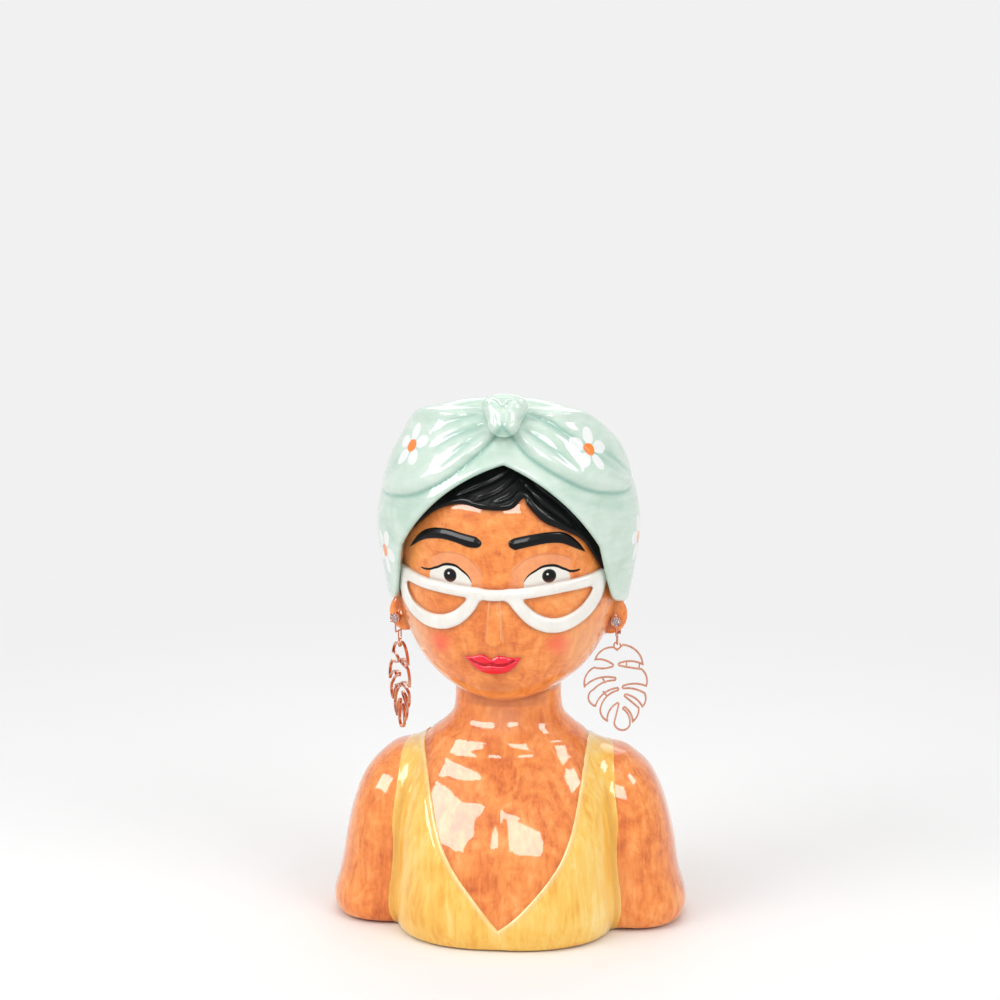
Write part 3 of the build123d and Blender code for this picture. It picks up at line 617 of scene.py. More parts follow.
def lips(p):
    x, z = p[:, 0], p[:, 2]
    gap = lip_shape(x, z)
    crown = 0.25 + 1.5 * np.sqrt(np.clip((0.3 - gap) / 3.0, 0, 1))
    crown += 0.55 * bump(x, z, -3.2, 139.4, 7.5, 1.7)
    crown -= 1.0 * bell(mouth_line(x, z), 0.6) * smooth(0.2, -1.2, gap)
    return feature(p, gap, crown, 0.6)


BAR = [(-52.6, 182.6), (-44, 180.2), (-34.6, 178.4), (-13.3, 176.5), (-3.0, 175.6), (8, 176.1), (14.5, 176.7),
       (29.7, 178.6), (42.5, 180.2), (50.0, 182.4)]
RIMS = [
    [(-50.6, 180.5), (-49.4, 172.5), (-45.2, 165.6), (-36.8, 161.3), (-28.0, 160.9), (-20.2, 164.0),
     (-14.3, 169.6), (-10.6, 175.6)],
    [(47.8, 180.6), (45.6, 172.6), (40.2, 165.2), (31.8, 160.7), (24.0, 160.4), (16.4, 163.8),
     (10.6, 169.4), (5.6, 175.4)],
]


def glasses_gap(q):
    line = flowing(BAR, 8)
    gap, _ = near_line(q, line, 2.75 + 0.5 * smooth(30, 50, np.abs(line[:, 0] + 1.0)))
    for points in RIMS:
        line = flowing(points, 8)
        t = np.linspace(0, 1, len(line))
        gap = join(gap, near_line(q, line, 2.80 + 0.85 * np.sin(np.pi * t))[0], 2.0)
    return gap


glasses_shape = Chart(glasses_gap, (-60, 150), (60, 192), 0.3)


def glasses(p):
    gap = glasses_shape(p[:, 0], p[:, 2])
    crown = 0.5 + 1.8 * np.sqrt(np.clip(1 - (1 - np.clip(-gap / 2.9, 0, 1)) ** 2, 0, 1))
    over = join(skull(p), nose(p), 2.2)
    return feature(p, gap, crown, 0.9, over)


# Camisole: a thin raised glaze layer over chest and shoulders
NECK_LEFT = [(0.3, 11.5), (-10.5, 24.8), (-21.6, 38.9), (-28.0, 50.0), (-31.8, 60.0), (-37.2, 79.0),
             (-41.5, 92.5), (-44, 104)]
NECK_RIGHT = [(0.3, 11.5), (8.0, 17.6), (15.7, 25.4), (24.0, 35.0), (30.4, 45.0), (35.2, 58.6), (38.0, 76.2),
              (39.9, 93.5), (41, 104)]
front_neck = region(np.vstack([flowing(NECK_LEFT, 6)[::-1], flowing(NECK_RIGHT, 6)[1:],
                               [(41, 130), (-44, 130)]]), 0.5, 30.0)
back_neck = region(arc((-41, 100), (0, 58), (41, 100)) + [(41, 130), (-41, 130)], 0.5, 30.0)


def neck_gap(p):
    """Distance inside the camisole's neckline, front or back."""
    return np.where(p[:, 1] < 6, front_neck(p[:, 0], p[:, 2]), back_neck(p[:, 0], p[:, 2]))


def side_edge(y, z):
    """How far out the camisole goes: wide over the bust, narrower behind the arms."""
    before = np.interp(z, [0, 30, 45, 58, 68, 78, 88, 100], [62, 60.5, 58.3, 56.5, 55.3, 54.4, 53.7, 53.0])
    behind = np.interp(z, [0, 40, 54, 64, 74, 84, 100], [62, 58, 48, 45.5, 47.0, 51.0, 53.0])
    share = smooth(-6, 20, y)
    return before * (1 - share) + behind * share


def camisole(p):
    x, y, z = p.T
    base = body_solid(p)
    neckline = -neck_gap(p)
    outside = np.abs(x) - side_edge(y, z)
    apart = chest(p, 2.4, 1.5, low=-5.0) - 9.0 * smooth(42, 86, z)
    outline = both(neckline, outside, 1.0)
    lip = 0.32 * bell(neckline + 1.1, 0.9)
    seam = 0.12 * bell(neckline + 3.2, 0.8)
    rise = (CAMISOLE_RISE + lip - seam) * (1 - 0.4 * smooth(68, 86, z))
    d = both(base + uneven(p) - rise, -(base + 1.2), 0.4)
    d = both(d, outline, 0.7)
    d = both(d, apart, 2.0)
    return both(d, -z, 0.5)


# Meshing

def sample(field, points):
    out = np.empty(len(points))
    for i in range(0, len(points), CHUNK):
        out[i:i + CHUNK] = field(points[i:i + CHUNK])
    return out


TETRA = np.array([(1, -1, -1), (-1, -1, 1), (-1, 1, -1), (1, 1, 1)], float)


def placed(name, data):
    """A new object in the scene."""
    thing = bpy.data.objects.new(name, data)
    bpy.context.scene.collection.objects.link(thing)
    return thing


def value_and_gradient(field, points, h):
    total = np.zeros(len(points))
    grad = np.zeros_like(points)
    for e in TETRA:
        v = sample(field, points + e * h)
        total += v / 4
        grad += v[:, None] * e / (4 * h)
    return total, grad


BLOCK = 4               # cells along a side of the blocks that are tried first
CORNERS = np.argwhere(np.ones((2, 2, 2)))
EDGES = [(a, b) for a in range(8) for b in range(a + 1, 8) if np.abs(CORNERS[a] - CORNERS[b]).sum() == 1]
AXES = np.eye(3, dtype=int)


def at_corner(nodes, corner):
    """The nodes at one corner of every cell."""
    (i, j, k), (a, b, c) = corner, np.array(nodes.shape) - 1
    return nodes[i:i + a, j:j + b, k:k + c]


def net(field, low, high, step):
    """A closed quad mesh on the field's zero surface, with its normals."""
    low, high = np.array(low, float), np.array(high, float)
    blocks = np.ceil((high - low) / (step * BLOCK)).astype(int)
    cells = blocks * BLOCK
    centre = low + (np.argwhere(np.ones(blocks)) + 0.5) * BLOCK * step
    near = np.abs(sample(field, centre)) < BLOCK * step * 1.15 + 0.8
    cell_on = near.reshape(blocks).repeat(BLOCK, 0).repeat(BLOCK, 1).repeat(BLOCK, 2)
    node_on = np.zeros(cells + 1, bool)
    for corner in CORNERS:
        at_corner(node_on, corner)[...] |= cell_on
    value = np.full(cells + 1, 1.0)
    value[node_on] = sample(field, low + np.argwhere(node_on) * step)
    filled = value < 0
    count = sum(at_corner(filled, corner).astype(np.int8) for corner in CORNERS)
    active = cell_on & (count > 0) & (count < 8)
    where = np.argwhere(active)
    index = np.full(cells, -1, np.int64)
    index[active] = np.arange(len(where))
    v = np.stack([at_corner(value, corner)[active] for corner in CORNERS], 1)
    point, hits = np.zeros((len(where), 3)), np.zeros(len(where))
    for a, b in EDGES:
        crossing = (v[:, a] < 0) != (v[:, b] < 0)
        t = np.where(crossing, v[:, a] / np.where(crossing, v[:, a] - v[:, b], 1.0), 0.0)
        point += np.where(crossing[:, None], CORNERS[a] + t[:, None] * (CORNERS[b] - CORNERS[a]), 0)
        hits += crossing
    vertices = low + (where + point / hits[:, None]) * step
    faces = []
    for axis, others in enumerate(((1, 2), (2, 0), (0, 1))):
        edge = np.argwhere(np.diff(filled, axis=axis))
        across = edge[:, others]
        edge = edge[((across > 0) & (across < cells[list(others)])).all(1)]
        u, w = AXES[list(others)]
        quad = np.stack([index[tuple((edge + shift).T)] for shift in (-u - w, -w, 0 * u, -u)], 1)
        inward = ~filled[tuple(edge.T)]
        quad[inward] = quad[inward][:, ::-1]
        faces.append(quad[(quad >= 0).all(1)])
    for _ in range(3):
        d, g = value_and_gradient(field, vertices, 0.06)
        move = -(d / ((g * g).sum(1) + 1e-6))[:, None] * g
        length = np.sqrt((move * move).sum(1)) + 1e-12
        vertices = vertices + move * np.minimum(1, 0.6 * step / length)[:, None]
    _, g = value_and_gradient(field, vertices, 0.10)
    return vertices, np.vstack(faces), g / (np.sqrt((g * g).sum(1))[:, None] + 1e-12)


def solid(name, field, low, high, step, nodes, slot, material):
    """A piece of the casting in place of its nodes, and its vertices in millimetres."""
    vertices, faces, normals = net(field, low, high, step * COARSE)
    mesh = bpy.data.meshes.new(name)
    mesh.vertices.add(len(vertices))
    mesh.vertices.foreach_set("co", (vertices * MM).astype(np.float32).ravel())
    mesh.loops.add(faces.size)
    mesh.loops.foreach_set("vertex_index", faces.astype(np.int32).ravel())
    mesh.polygons.add(len(faces))
    mesh.polygons.foreach_set("loop_start", np.arange(0, faces.size, 4, dtype=np.int32))
    mesh.polygons.foreach_set("use_smooth", np.ones(len(faces), bool))
    mesh.update(calc_edges=True)
    mesh.validate()
    mesh.normals_split_custom_set_from_vertices(normals)
    piece = placed(name, mesh)
    mesh.materials.append(material)
    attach(piece, "root")
    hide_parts(*nodes)
    return piece, vertices


def paint(mesh, name, values):
    """Keeps a value or a vector for each vertex, for the materials to read."""
    kind = "FLOAT" if values.ndim == 1 else "FLOAT_VECTOR"
    key = "value" if values.ndim == 1 else "vector"
    found = mesh.attributes.new(name, kind, "POINT")
    found.data.foreach_set(key, values.astype(np.float32).ravel())


# Materials

class Graph:
    """Short calls for building a material's nodes. Sockets and plain numbers can be mixed."""

    def __init__(self, name):
        self.material = bpy.data.materials.new(name)
        self.material.use_nodes = True
        self.tree = self.material.node_tree
        self.tree.nodes.clear()
        self.output = self.tree.nodes.new("ShaderNodeOutputMaterial")

    def set(self, socket, value):
        if isinstance(value, bpy.types.NodeSocket):
            self.tree.links.new(value, socket)
        elif isinstance(value, (tuple, list)) and len(value) == 3 and socket.type == "RGBA":
            socket.default_value = (*value, 1.0)
        else:
            socket.default_value = value

    def node(self, kind, inputs=(), **settings):
        node = self.tree.nodes.new("ShaderNode" + kind)
        for key, value in settings.items():
            setattr(node, key, value)
        for key, value in dict(inputs).items():
            self.set(node.inputs[key], value)
        return node

    def math(self, operation, a, b=0.0, c=0.0, clamp=False):
        node = self.node("Math", {0: a, 1: b, 2: c}, operation=operation)
        node.use_clamp = clamp
        return node.outputs[0]

    def mul(self, first, *rest):
        for value in rest:
            first = self.math("MULTIPLY", first, value)
        return first

    def add(self, first, *rest):
        for value in rest:
            first = self.math("ADD", first, value)
        return first

    def sub(self, a, b):
        return self.math("SUBTRACT", a, b)

    def blend(self, *parts):
        """Sum of values, each times its share."""
        return self.add(*[self.mul(value, share) for value, share in parts])

    def far(self, x, z, cx, cz, rx=1.0, rz=1.0):
        """Distance from a centre, in radii of the ellipse round it."""
        dx = self.math("DIVIDE", self.sub(x, cx), rx)
        dz = self.math("DIVIDE", self.sub(z, cz), rz)
        return self.math("SQRT", self.add(self.mul(dx, dx), self.mul(dz, dz)))

    def between(self, value, low, high, rise, fall):
        """1 between two values, 0 beyond them, with soft ends inside."""
        return self.mul(self.step(value, low, low + rise), self.step(value, high, high - fall))

    def mix(self, share, a, b):
        node = self.node("Mix", data_type="RGBA")
        self.set(node.inputs[0], share)
        self.set(node.inputs[6], a)
        self.set(node.inputs[7], b)
        return node.outputs[2]

    def step(self, value, low, high):
        """0 at low, 1 at high, smooth between."""
        node = self.node("MapRange", {"Value": value, "From Min": low, "From Max": high},
                         interpolation_type="SMOOTHSTEP")
        return node.outputs[0]

    def place(self, scale=(1, 1, 1), turn=(0, 0, 0)):
        """Object place in millimetres, stretched."""
        where = self.node("TexCoord").outputs["Object"]
        node = self.node("Mapping", {"Vector": where, "Rotation": turn,
                                     "Scale": tuple(1000 * s for s in scale)})
        return node.outputs[0]

    def noise(self, vector, scale, detail=3.0, rough=0.5, distort=0.0):
        node = self.node("TexNoise", {"Vector": vector, "Scale": scale, "Detail": detail,
                                      "Roughness": rough, "Distortion": distort})
        return node.outputs[0]

    def ramp(self, value, stops):
        node = self.node("ValToRGB", {0: value})
        ramp = node.color_ramp
        while len(ramp.elements) > 1:
            ramp.elements.remove(ramp.elements[-1])
        ramp.elements[0].position = stops[0][0]
        ramp.elements[0].color = (*stops[0][1], 1)
        for at, colour in stops[1:]:
            ramp.elements.new(at).color = (*colour, 1)
        return node.outputs[0]

    def curve(self, value, points):
        """A smooth curve through points, in the points' own units."""
        xs, ys = [q[0] for q in points], [q[1] for q in points]
        low, high, foot, top = min(xs), max(xs), min(ys), max(ys)
        share = self.math("DIVIDE", self.math("SUBTRACT", value, low), high - low, clamp=True)
        node = self.node("FloatCurve", {"Value": share})
        line = node.mapping.curves[0]
        spots = [((x - low) / (high - low), (y - foot) / (top - foot)) for x, y in points]
        line.points[0].location = spots[0]
        line.points[1].location = spots[-1]
        for spot in spots[1:-1]:
            line.points.new(*spot)
        node.mapping.update()
        return self.math("MULTIPLY_ADD", node.outputs[0], top - foot, foot)

    def attribute(self, name, output="Fac"):
        return self.node("Attribute", attribute_name=name).outputs[output]

    def tint(self, colour, name, strength, paint_colour):
        """Mixes in a colour where an attribute of the mesh says."""
        share = self.math("MULTIPLY", self.attribute(name), strength, clamp=True)
        return self.mix(share, colour, paint_colour)

    def split(self, vector):
        return self.node("SeparateXYZ", {0: vector}).outputs

    def surface(self, shader):
        self.tree.links.new(shader.outputs[0], self.output.inputs["Surface"])
        return self.material

    def glaze(self, colour, roughness, coat, coat_roughness, height, distance, strength, coat_ior=1.45):
        """A painted body under a clear glaze with a faint unevenness."""
        relief = self.node("Bump", {"Height": height, "Distance": distance, "Strength": strength}).outputs[0]
        return self.surface(self.node("BsdfPrincipled", {
            "Base Color": colour, "Roughness": roughness, "Coat Weight": coat,
            "Coat Roughness": coat_roughness, "Coat IOR": coat_ior, "Specular IOR Level": 0.1,
            "Normal": relief, "Coat Normal": relief}))

    def ripple(self, scale):
        """The faint unevenness of a thick glaze."""
        return self.noise(self.place(), scale, 2.0, 0.45)


INSIDE_WHITE, INK, BARE_CLAY = (0.78, 0.74, 0.66), (0.004, 0.004, 0.004), (0.80, 0.73, 0.62)
EYES = [
    {"lid": [(-39.4, 185.9), (-36.0, 185.5), (-31.3, 186.9), (-24.0, 189.2), (-17.8, 186.7), (-12.9, 181.0)],
     "white": (-23.4, 11.2), "pupil": (-23.9, 184.0),
     "shadow": [(-36.0, 190.0), (-31.4, 192.6), (-22.5, 195.3), (-12.5, 191.4), (-6.6, 183.0)],
     "crease": [(-34.0, 192.0), (-27.0, 194.8), (-18.0, 194.3), (-11.0, 189.4), (-6.2, 181.5)]},
    {"lid": [(11.9, 181.6), (17.2, 187.0), (24.1, 189.4), (31.0, 187.2), (34.6, 185.8), (38.2, 186.3)],
     "white": (22.4, 11.2), "pupil": (23.8, 184.4),
     "shadow": [(4.0, 182.5), (10.0, 191.5), (20.0, 195.3), (29.5, 194.0), (35.5, 191.0)],
     "crease": [(3.6, 181.0), (9.0, 189.4), (16.0, 194.0), (25.0, 195.0), (34.0, 192.0)]},
]


def painted_eye(g, colour, eye, x, z, front):
    """Shadow, crease, white, iris, pupil, glint and liner. Gives the colour and where the ink lies."""
    low, high = eye["lid"][0][0], eye["lid"][-1][0]
    over = g.sub(z, g.curve(x, eye["lid"]))
    crest = g.sub(z, g.curve(x, eye["shadow"]))
    span = g.between(x, eye["shadow"][0][0], eye["shadow"][-1][0], 4, 3)
    shade = g.mul(g.step(crest, 0.9, -0.9), g.step(z, 177.0, 181.0), span, front, 0.55)
    colour = g.mix(shade, colour, (0.90, 0.38, 0.19))
    line = g.math("ABSOLUTE", g.sub(z, g.curve(x, eye["crease"])))
    colour = g.mix(g.mul(g.step(line, 0.75, 0.1), span, front, 0.4), colour, (0.55, 0.14, 0.04))

    # the white shows only above the bar of the glasses
    middle, half = eye["white"]
    oval = g.step(g.far(x, z, middle, 182.0, half, 10.0), 1.01, 0.985)
    above_bar = g.step(g.sub(z, g.curve(x, BAR)), -0.6, -0.2)
    ends = g.between(x, low, high, 0.4, 0.4)
    white = g.mul(g.step(over, 0.12, -0.12), above_bar, oval, front, ends)
    colour = g.mix(white, colour, (0.84, 0.81, 0.74))

    px, pz = eye["pupil"]
    far = g.far(x, z, px, pz)
    seen = g.mul(g.step(over, 0.2, -0.1), front)
    iris = g.mul(g.step(far, 3.40, 3.20), seen)
    colour = g.mix(iris, colour, (0.030, 0.030, 0.030))
    colour = g.mix(g.mul(g.step(far, 2.75, 2.55), seen), colour, INK)
    glint = g.step(g.far(x, z, px - 0.75, pz + 0.85), 0.62, 0.42)
    colour = g.mix(g.mul(glint, seen), colour, (0.85, 0.84, 0.80))
    width = g.curve(x, [(low, 0.34), (low + 0.3 * (high - low), 0.62), (low + 0.6 * (high - low), 0.68),
                        (high, 0.38)])
    liner = g.mul(g.step(g.sub(g.math("ABSOLUTE", over), width), 0.12, -0.12), ends, front)
    return g.mix(liner, colour, INK), g.math("MAXIMUM", liner, iris)


def skin_material():
    g = Graph("skin_glaze")
    place = g.node("TexCoord").outputs["Object"]
    x, y, z = (g.mul(s, 1000.0) for s in g.split(place))
    down = g.noise(g.place((1.0, 1.0, 0.10), (0, 0.06, 0)), 0.30, 3.0, 0.55, 0.8)
    round_face = g.noise(g.place((0.30, 0.45, 1.0), (0, 0.45, 0)), 0.34, 4.0, 0.6, 1.6)
    round_back = g.noise(g.place((0.45, 0.30, 0.9), (0, -0.5, 0)), 0.30, 4.0, 0.6, 1.6)
    clouds = g.noise(g.place(), 0.030, 4.0, 0.6, 1.2)
    blotches = g.noise(g.place((1.0, 1.0, 0.7)), 0.080, 4.0, 0.62, 2.2)
    fine = g.noise(g.place((1.0, 1.0, 0.4)), 1.0, 3.0, 0.6)
    face = g.step(z, 104.0, 122.0)
    swept = g.blend((round_face, 0.5), (round_back, 0.5))
    wash = g.add(g.mul(down, g.sub(1.0, face)), g.mul(swept, face))
    tone = g.blend((wash, 0.28), (clouds, 0.32), (blotches, 0.34), (fine, 0.06))
    colour = g.ramp(tone, [(0.38, (0.61, 0.130, 0.024)), (0.46, (0.80, 0.210, 0.042)),
                           (0.53, (0.92, 0.300, 0.066)), (0.62, (0.96, 0.410, 0.130))])
    front = g.step(y, -10.0, -24.0)

    def spot(colour, paint_colour, cx, cz, rx, rz, strength, soft=1.6):
        share = g.mul(g.step(g.far(x, z, cx, cz, rx, rz), soft, 0.15), strength, front)
        return g.mix(share, colour, paint_colour)

    # painted shade on the chin below the lower lip, and a paler wash on the neck
    colour = spot(colour, (0.50, 0.12, 0.03), -1.5, 129.5, 8.5, 4.2, 0.55)
    colour = spot(colour, (0.88, 0.44, 0.24), 0.0, 108.0, 9.0, 8.0, 0.35)
    # painted shade: a darker band on the neck under the jaw
    from_middle = g.math("ABSOLUTE", g.add(x, 1.0))
    jaw_shade = g.mul(g.between(z, 113.0, 124.0, 2.0, 2.0), g.step(from_middle, 23.0, 19.0), front, 0.55)
    colour = g.mix(jaw_shade, colour, (0.60, 0.16, 0.045))
    for cx in (-29.4, 28.4):
        colour = spot(colour, (0.93, 0.120, 0.055), cx, 150.5, 5.4, 4.8, 0.80, 1.7)
    # painted sheen: paler glaze towards the sides of the face
    for cx in (-43.0, 40.0):
        colour = spot(colour, (0.96, 0.50, 0.22), cx, 148.0, 10.0, 20.0, 0.5, 1.5)

    # painted highlights: pale lines down both sides of the nose
    half = g.curve(z, [(148.0, 4.4), (153.0, 4.1), (158.0, 3.5), (166.0, 2.9), (178.0, 2.1)])
    ridge = g.math("ABSOLUTE", g.sub(g.math("ABSOLUTE", g.sub(x, FACE_X)), half))
    ridge = g.mul(g.step(ridge, 0.6, 0.1), g.step(z, 151.0, 157.0), g.step(z, 178.0, 172.0), front, 0.55)
    colour = g.mix(ridge, colour, (0.96, 0.60, 0.34))

    ink = 0.0
    for eye in EYES:
        colour, drawn = painted_eye(g, colour, eye, x, z, front)
        ink = g.math("MAXIMUM", ink, drawn)

    # painted shade and darker pooled glaze in creases, and the inside is glazed plain white
    colour = g.tint(colour, "pool_and_shade", 0.75, (0.33, 0.075, 0.025))
    colour = g.tint(colour, "within", 1.0, INSIDE_WHITE)
    colour = g.mix(g.step(z, 0.9, 0.3), colour, BARE_CLAY)
    coat = g.math("MULTIPLY_ADD", ink, -0.75, 1.0)
    return g.glaze(colour, 0.35, coat, 0.025, g.ripple(0.07), 0.0006, 0.55)


PETALS, PETAL_CENTRE, PETAL_LONG, PETAL_WIDE = 5, 7.3, 4.5, 3.35


def mint_material():
    g = Graph("mint_glaze")
    clouds = g.noise(g.place(), 0.03, 3.0, 0.55, 1.0)
    strokes = g.noise(g.place((0.35, 0.35, 1.0), (0, 0.3, 0)), 0.20, 4.0, 0.6, 1.0)
    tone = g.blend((clouds, 0.6), (strokes, 0.4))
    colour = g.ramp(tone, [(0.36, (0.47, 0.640, 0.530)), (0.47, (0.55, 0.700, 0.595)),
                           (0.56, (0.61, 0.740, 0.645)), (0.68, (0.68, 0.785, 0.705))])
    # painted shade and darker pooled glaze under the folds and in the creases, and painted highlights on the
    # crests
    colour = g.tint(colour, "pool_and_shade", 0.85, (0.25, 0.48, 0.40))
    colour = g.tint(colour, "crest", 0.35, (0.74, 0.82, 0.76))

    # daisies: the attribute holds two places on the wrap and the distance from the daisy's middle
    u, v, far = g.split(g.attribute("daisy", "Vector"))
    sector = 2 * math.pi / PETALS
    turn = g.math("DIVIDE", g.math("ARCTAN2", v, u), sector)
    turn = g.mul(g.sub(turn, g.math("ROUND", turn)), sector)
    along, across = g.mul(far, g.math("COSINE", turn)), g.mul(far, g.math("SINE", turn))
    wobble = g.mul(g.sub(g.noise(g.place(), 0.35, 2.0), 0.5), 0.22)
    petal = g.add(g.far(along, across, PETAL_CENTRE, 0.0, PETAL_LONG, PETAL_WIDE), wobble)
    streak = g.noise(g.place((0.6, 0.6, 1.0)), 0.9, 2.0)
    white = g.mix(g.mul(streak, 0.45), (0.88, 0.89, 0.88), (0.76, 0.83, 0.79))
    colour = g.mix(g.step(petal, 1.03, 0.93), colour, white)
    colour = g.mix(g.step(g.add(far, wobble), 3.45, 3.15), colour, (0.93, 0.24, 0.03))
    colour = g.tint(colour, "within", 1.0, (0.78, 0.76, 0.68))
    return g.glaze(colour, 0.28, 1.0, 0.02, g.ripple(0.06), 0.0006, 0.45)


def yellow_material():
    g = Graph("yellow_glaze")
    strokes = g.noise(g.place((1.0, 1.0, 0.14), (0, -0.08, 0)), 0.28, 4.0, 0.6, 0.7)
    clouds = g.noise(g.place(), 0.03, 3.0, 0.55, 1.2)
    tone = g.blend((strokes, 0.55), (clouds, 0.45))
    colour = g.ramp(tone, [(0.36, (0.87, 0.410, 0.056)), (0.46, (0.93, 0.540, 0.095)),
                           (0.55, (0.95, 0.620, 0.140)), (0.67, (0.96, 0.720, 0.280))])
    colour = g.tint(colour, "edge", 0.5, (0.94, 0.76, 0.42))
    # painted shade and darker pooled glaze in the creases by the arms
    colour = g.tint(colour, "pool_and_shade", 0.6, (0.74, 0.33, 0.05))
    return g.glaze(colour, 0.3, 1.0, 0.025, g.ripple(0.07), 0.0006, 0.55)


def plain_glaze(name, dark, light, roughness, coat_ior=1.45, pool_and_shade_colour=None, coat=1.0):
    g = Graph(name)
    tone = g.noise(g.place((1, 1, 0.6)), 0.12, 3.0, 0.6, 0.5)
    colour = g.ramp(tone, [(0.35, dark), (0.65, light)])
    # painted shade and darker pooled glaze where the mesh's attribute says
    if pool_and_shade_colour is not None:
        colour = g.tint(colour, "pool_and_shade", 1.0, pool_and_shade_colour)
    return g.glaze(colour, roughness, coat, 0.02, g.noise(g.place(), 0.16, 2.0, 0.5), 0.0005, 0.2, coat_ior)


def rose_gold():
    g = Graph("rose_gold")
    tone = g.noise(g.place(), 0.6, 3.0, 0.6)
    colour = g.ramp(tone, [(0.35, (0.58, 0.24, 0.15)), (0.65, (0.72, 0.34, 0.23))])
    rough = g.step(g.noise(g.place(), 1.8, 3.0), 0.2, 0.9)
    bump = g.node("Bump", {"Height": g.noise(g.place(), 2.5, 2.0), "Distance": 0.00005, "Strength": 0.25})
    return g.surface(g.node("BsdfPrincipled", {
        "Base Color": colour, "Roughness": g.math("MULTIPLY_ADD", rough, 0.14, 0.12), "Metallic": 1.0,
        "Normal": bump.outputs[0]}))


def crystal():
    g = Graph("crystal")
    colour = g.ramp(g.noise(g.place(), 0.9, 2.0), [(0.35, (0.86, 0.88, 0.94)), (0.65, (0.99, 0.98, 0.99))])
    return g.surface(g.node("BsdfPrincipled", {
        "Base Color": colour, "Roughness": g.mul(g.noise(g.place(), 3.0), 0.03), "IOR": 1.75,
        "Transmission Weight": 0.75}))


# Making the pieces

SKIN, MINT, YELLOW = skin_material(), mint_material(), yellow_material()
BLACK = plain_glaze("black_glaze", (0.0010, 0.0010, 0.0012), (0.003, 0.003, 0.0035), 0.3, 1.34, coat=0.4)
RED = plain_glaze("red_glaze", (0.86, 0.005, 0.024), (0.95, 0.011, 0.042), 0.25, pool_and_shade_colour=(0.34, 0.001, 0.007))
WHITE = plain_glaze("white_glaze", (0.83, 0.80, 0.735), (0.89, 0.87, 0.82), 0.28)

COARSE = 1.0
WRAP_NODES = ("headwrap", "wrap_fold_left", "wrap_fold_right", "wrap_knot")
PIECES = [
    ("skin_casting", skin, (-95, -70, -2), (95, 68, 240), 1.25, ("torso", "arm_left", "arm_right", "head"),
     "skin_glaze", SKIN),
    ("headwrap_casting", headwrap, (-70, -66, 142), (70, 68, 275), 1.0, WRAP_NODES, "mint_glaze", MINT),
    ("hair_relief", hair, (-44, -64, 174), (56, -10, 244), 0.62, ("hair",), "black_glaze", BLACK),
    ("brow_relief_left", brow(-1), (-50, -64, 190), (-5, -24, 210), 0.45, ("brow_left",),
     "black_glaze", BLACK),
    ("brow_relief_right", brow(1), (2, -64, 190), (46, -24, 210), 0.45, ("brow_right",),
     "black_glaze", BLACK),
    ("lip_relief", lips, (-20, -64, 133), (14, -46, 149), 0.35, ("lips",), "red_glaze", RED),
    ("glasses_relief", glasses, (-57, -66, 153), (55, -8, 189), 0.55, ("glasses",), "white_glaze", WHITE),
    ("camisole_relief", camisole, (-64, -68, -2), (64, 54, 99), 0.85, ("camisole",), "yellow_glaze", YELLOW),
]
made = {row[0]: solid(*row) for row in PIECES}

# Painted shade and darker pooled glaze in the skin's creases: at the arms, the chin, the ears and round the
# raised features
piece, at = made["skin_casting"]
x, y, z = at.T
creased = bell(sample(arm_gap, at), 2.2) * smooth(80, 66, z)
skull_gap = sample(skull, at)
chin = skull_gap - sample(body_solid, at)
creased = np.maximum(creased, 0.8 * bell(chin, 2.0) * smooth(150, 140, z))
lobe = np.minimum(sample(lambda p: ear(p, -1), at), sample(lambda p: ear(p, 1), at))
creased = np.maximum(creased, 0.8 * bell(skull_gap - lobe, 1.6) * (z < 175))
low_face = (y < -5) & (z > 125)
for shape in (glasses_shape, hair_shape, lip_shape):
    creased = np.maximum(creased, 0.6 * bell(np.clip(shape(x, z), 0, None), 1.3) * low_face)
creased = np.maximum(creased, 0.35 * bell(neck_gap(at), 1.6) * (z < 100))
paint(piece.data, "pool_and_shade", creased)
within = (sample(inner, at) < 1.2) | (sample(chest_hollow, at) < 0.8)
paint(piece.data, "within", within.astype(float))

# Painted shade with darker pooled glaze under the headwrap's folds and in its creases, and painted highlights
# on their crests
piece, at = made["headwrap_casting"]
x, y, z = at.T
u, room = around(at), sample(inner, at)
edge_gap, face_gap = fold_edge(u, z), opening(x, z)
front_half = smooth(110, 70, np.abs(u))
pool_and_shade = np.maximum(bell(edge_gap + 0.5, 1.25) * front_half, np.clip(creases(u, z) / 1.7, 0, 1) ** 1.3)
knot_gap = sample(knot, at) - (sample(lambda p: wrap(p, 0, 1.0), at) - sample(drape, at))
pool_and_shade = np.maximum(pool_and_shade, 0.9 * bell(knot_gap, 1.5) * (y < -30) * (np.abs(x - KNOT_FOOT[0]) < 13))
pool_and_shade = np.maximum(pool_and_shade, 0.35 * bell(face_gap, 1.5) * (y < 0))
paint(piece.data, "pool_and_shade", pool_and_shade * (room > 1.0))
crest = np.maximum(bell(edge_gap - 5.0, 3.0) * front_half, bell(face_gap - 3.0, 1.6) * 0.6 * (y < 0))
paint(piece.data, "crest", crest)
paint(piece.data, "within", (room < 0.35).astype(float) * smooth(262, 250, z))

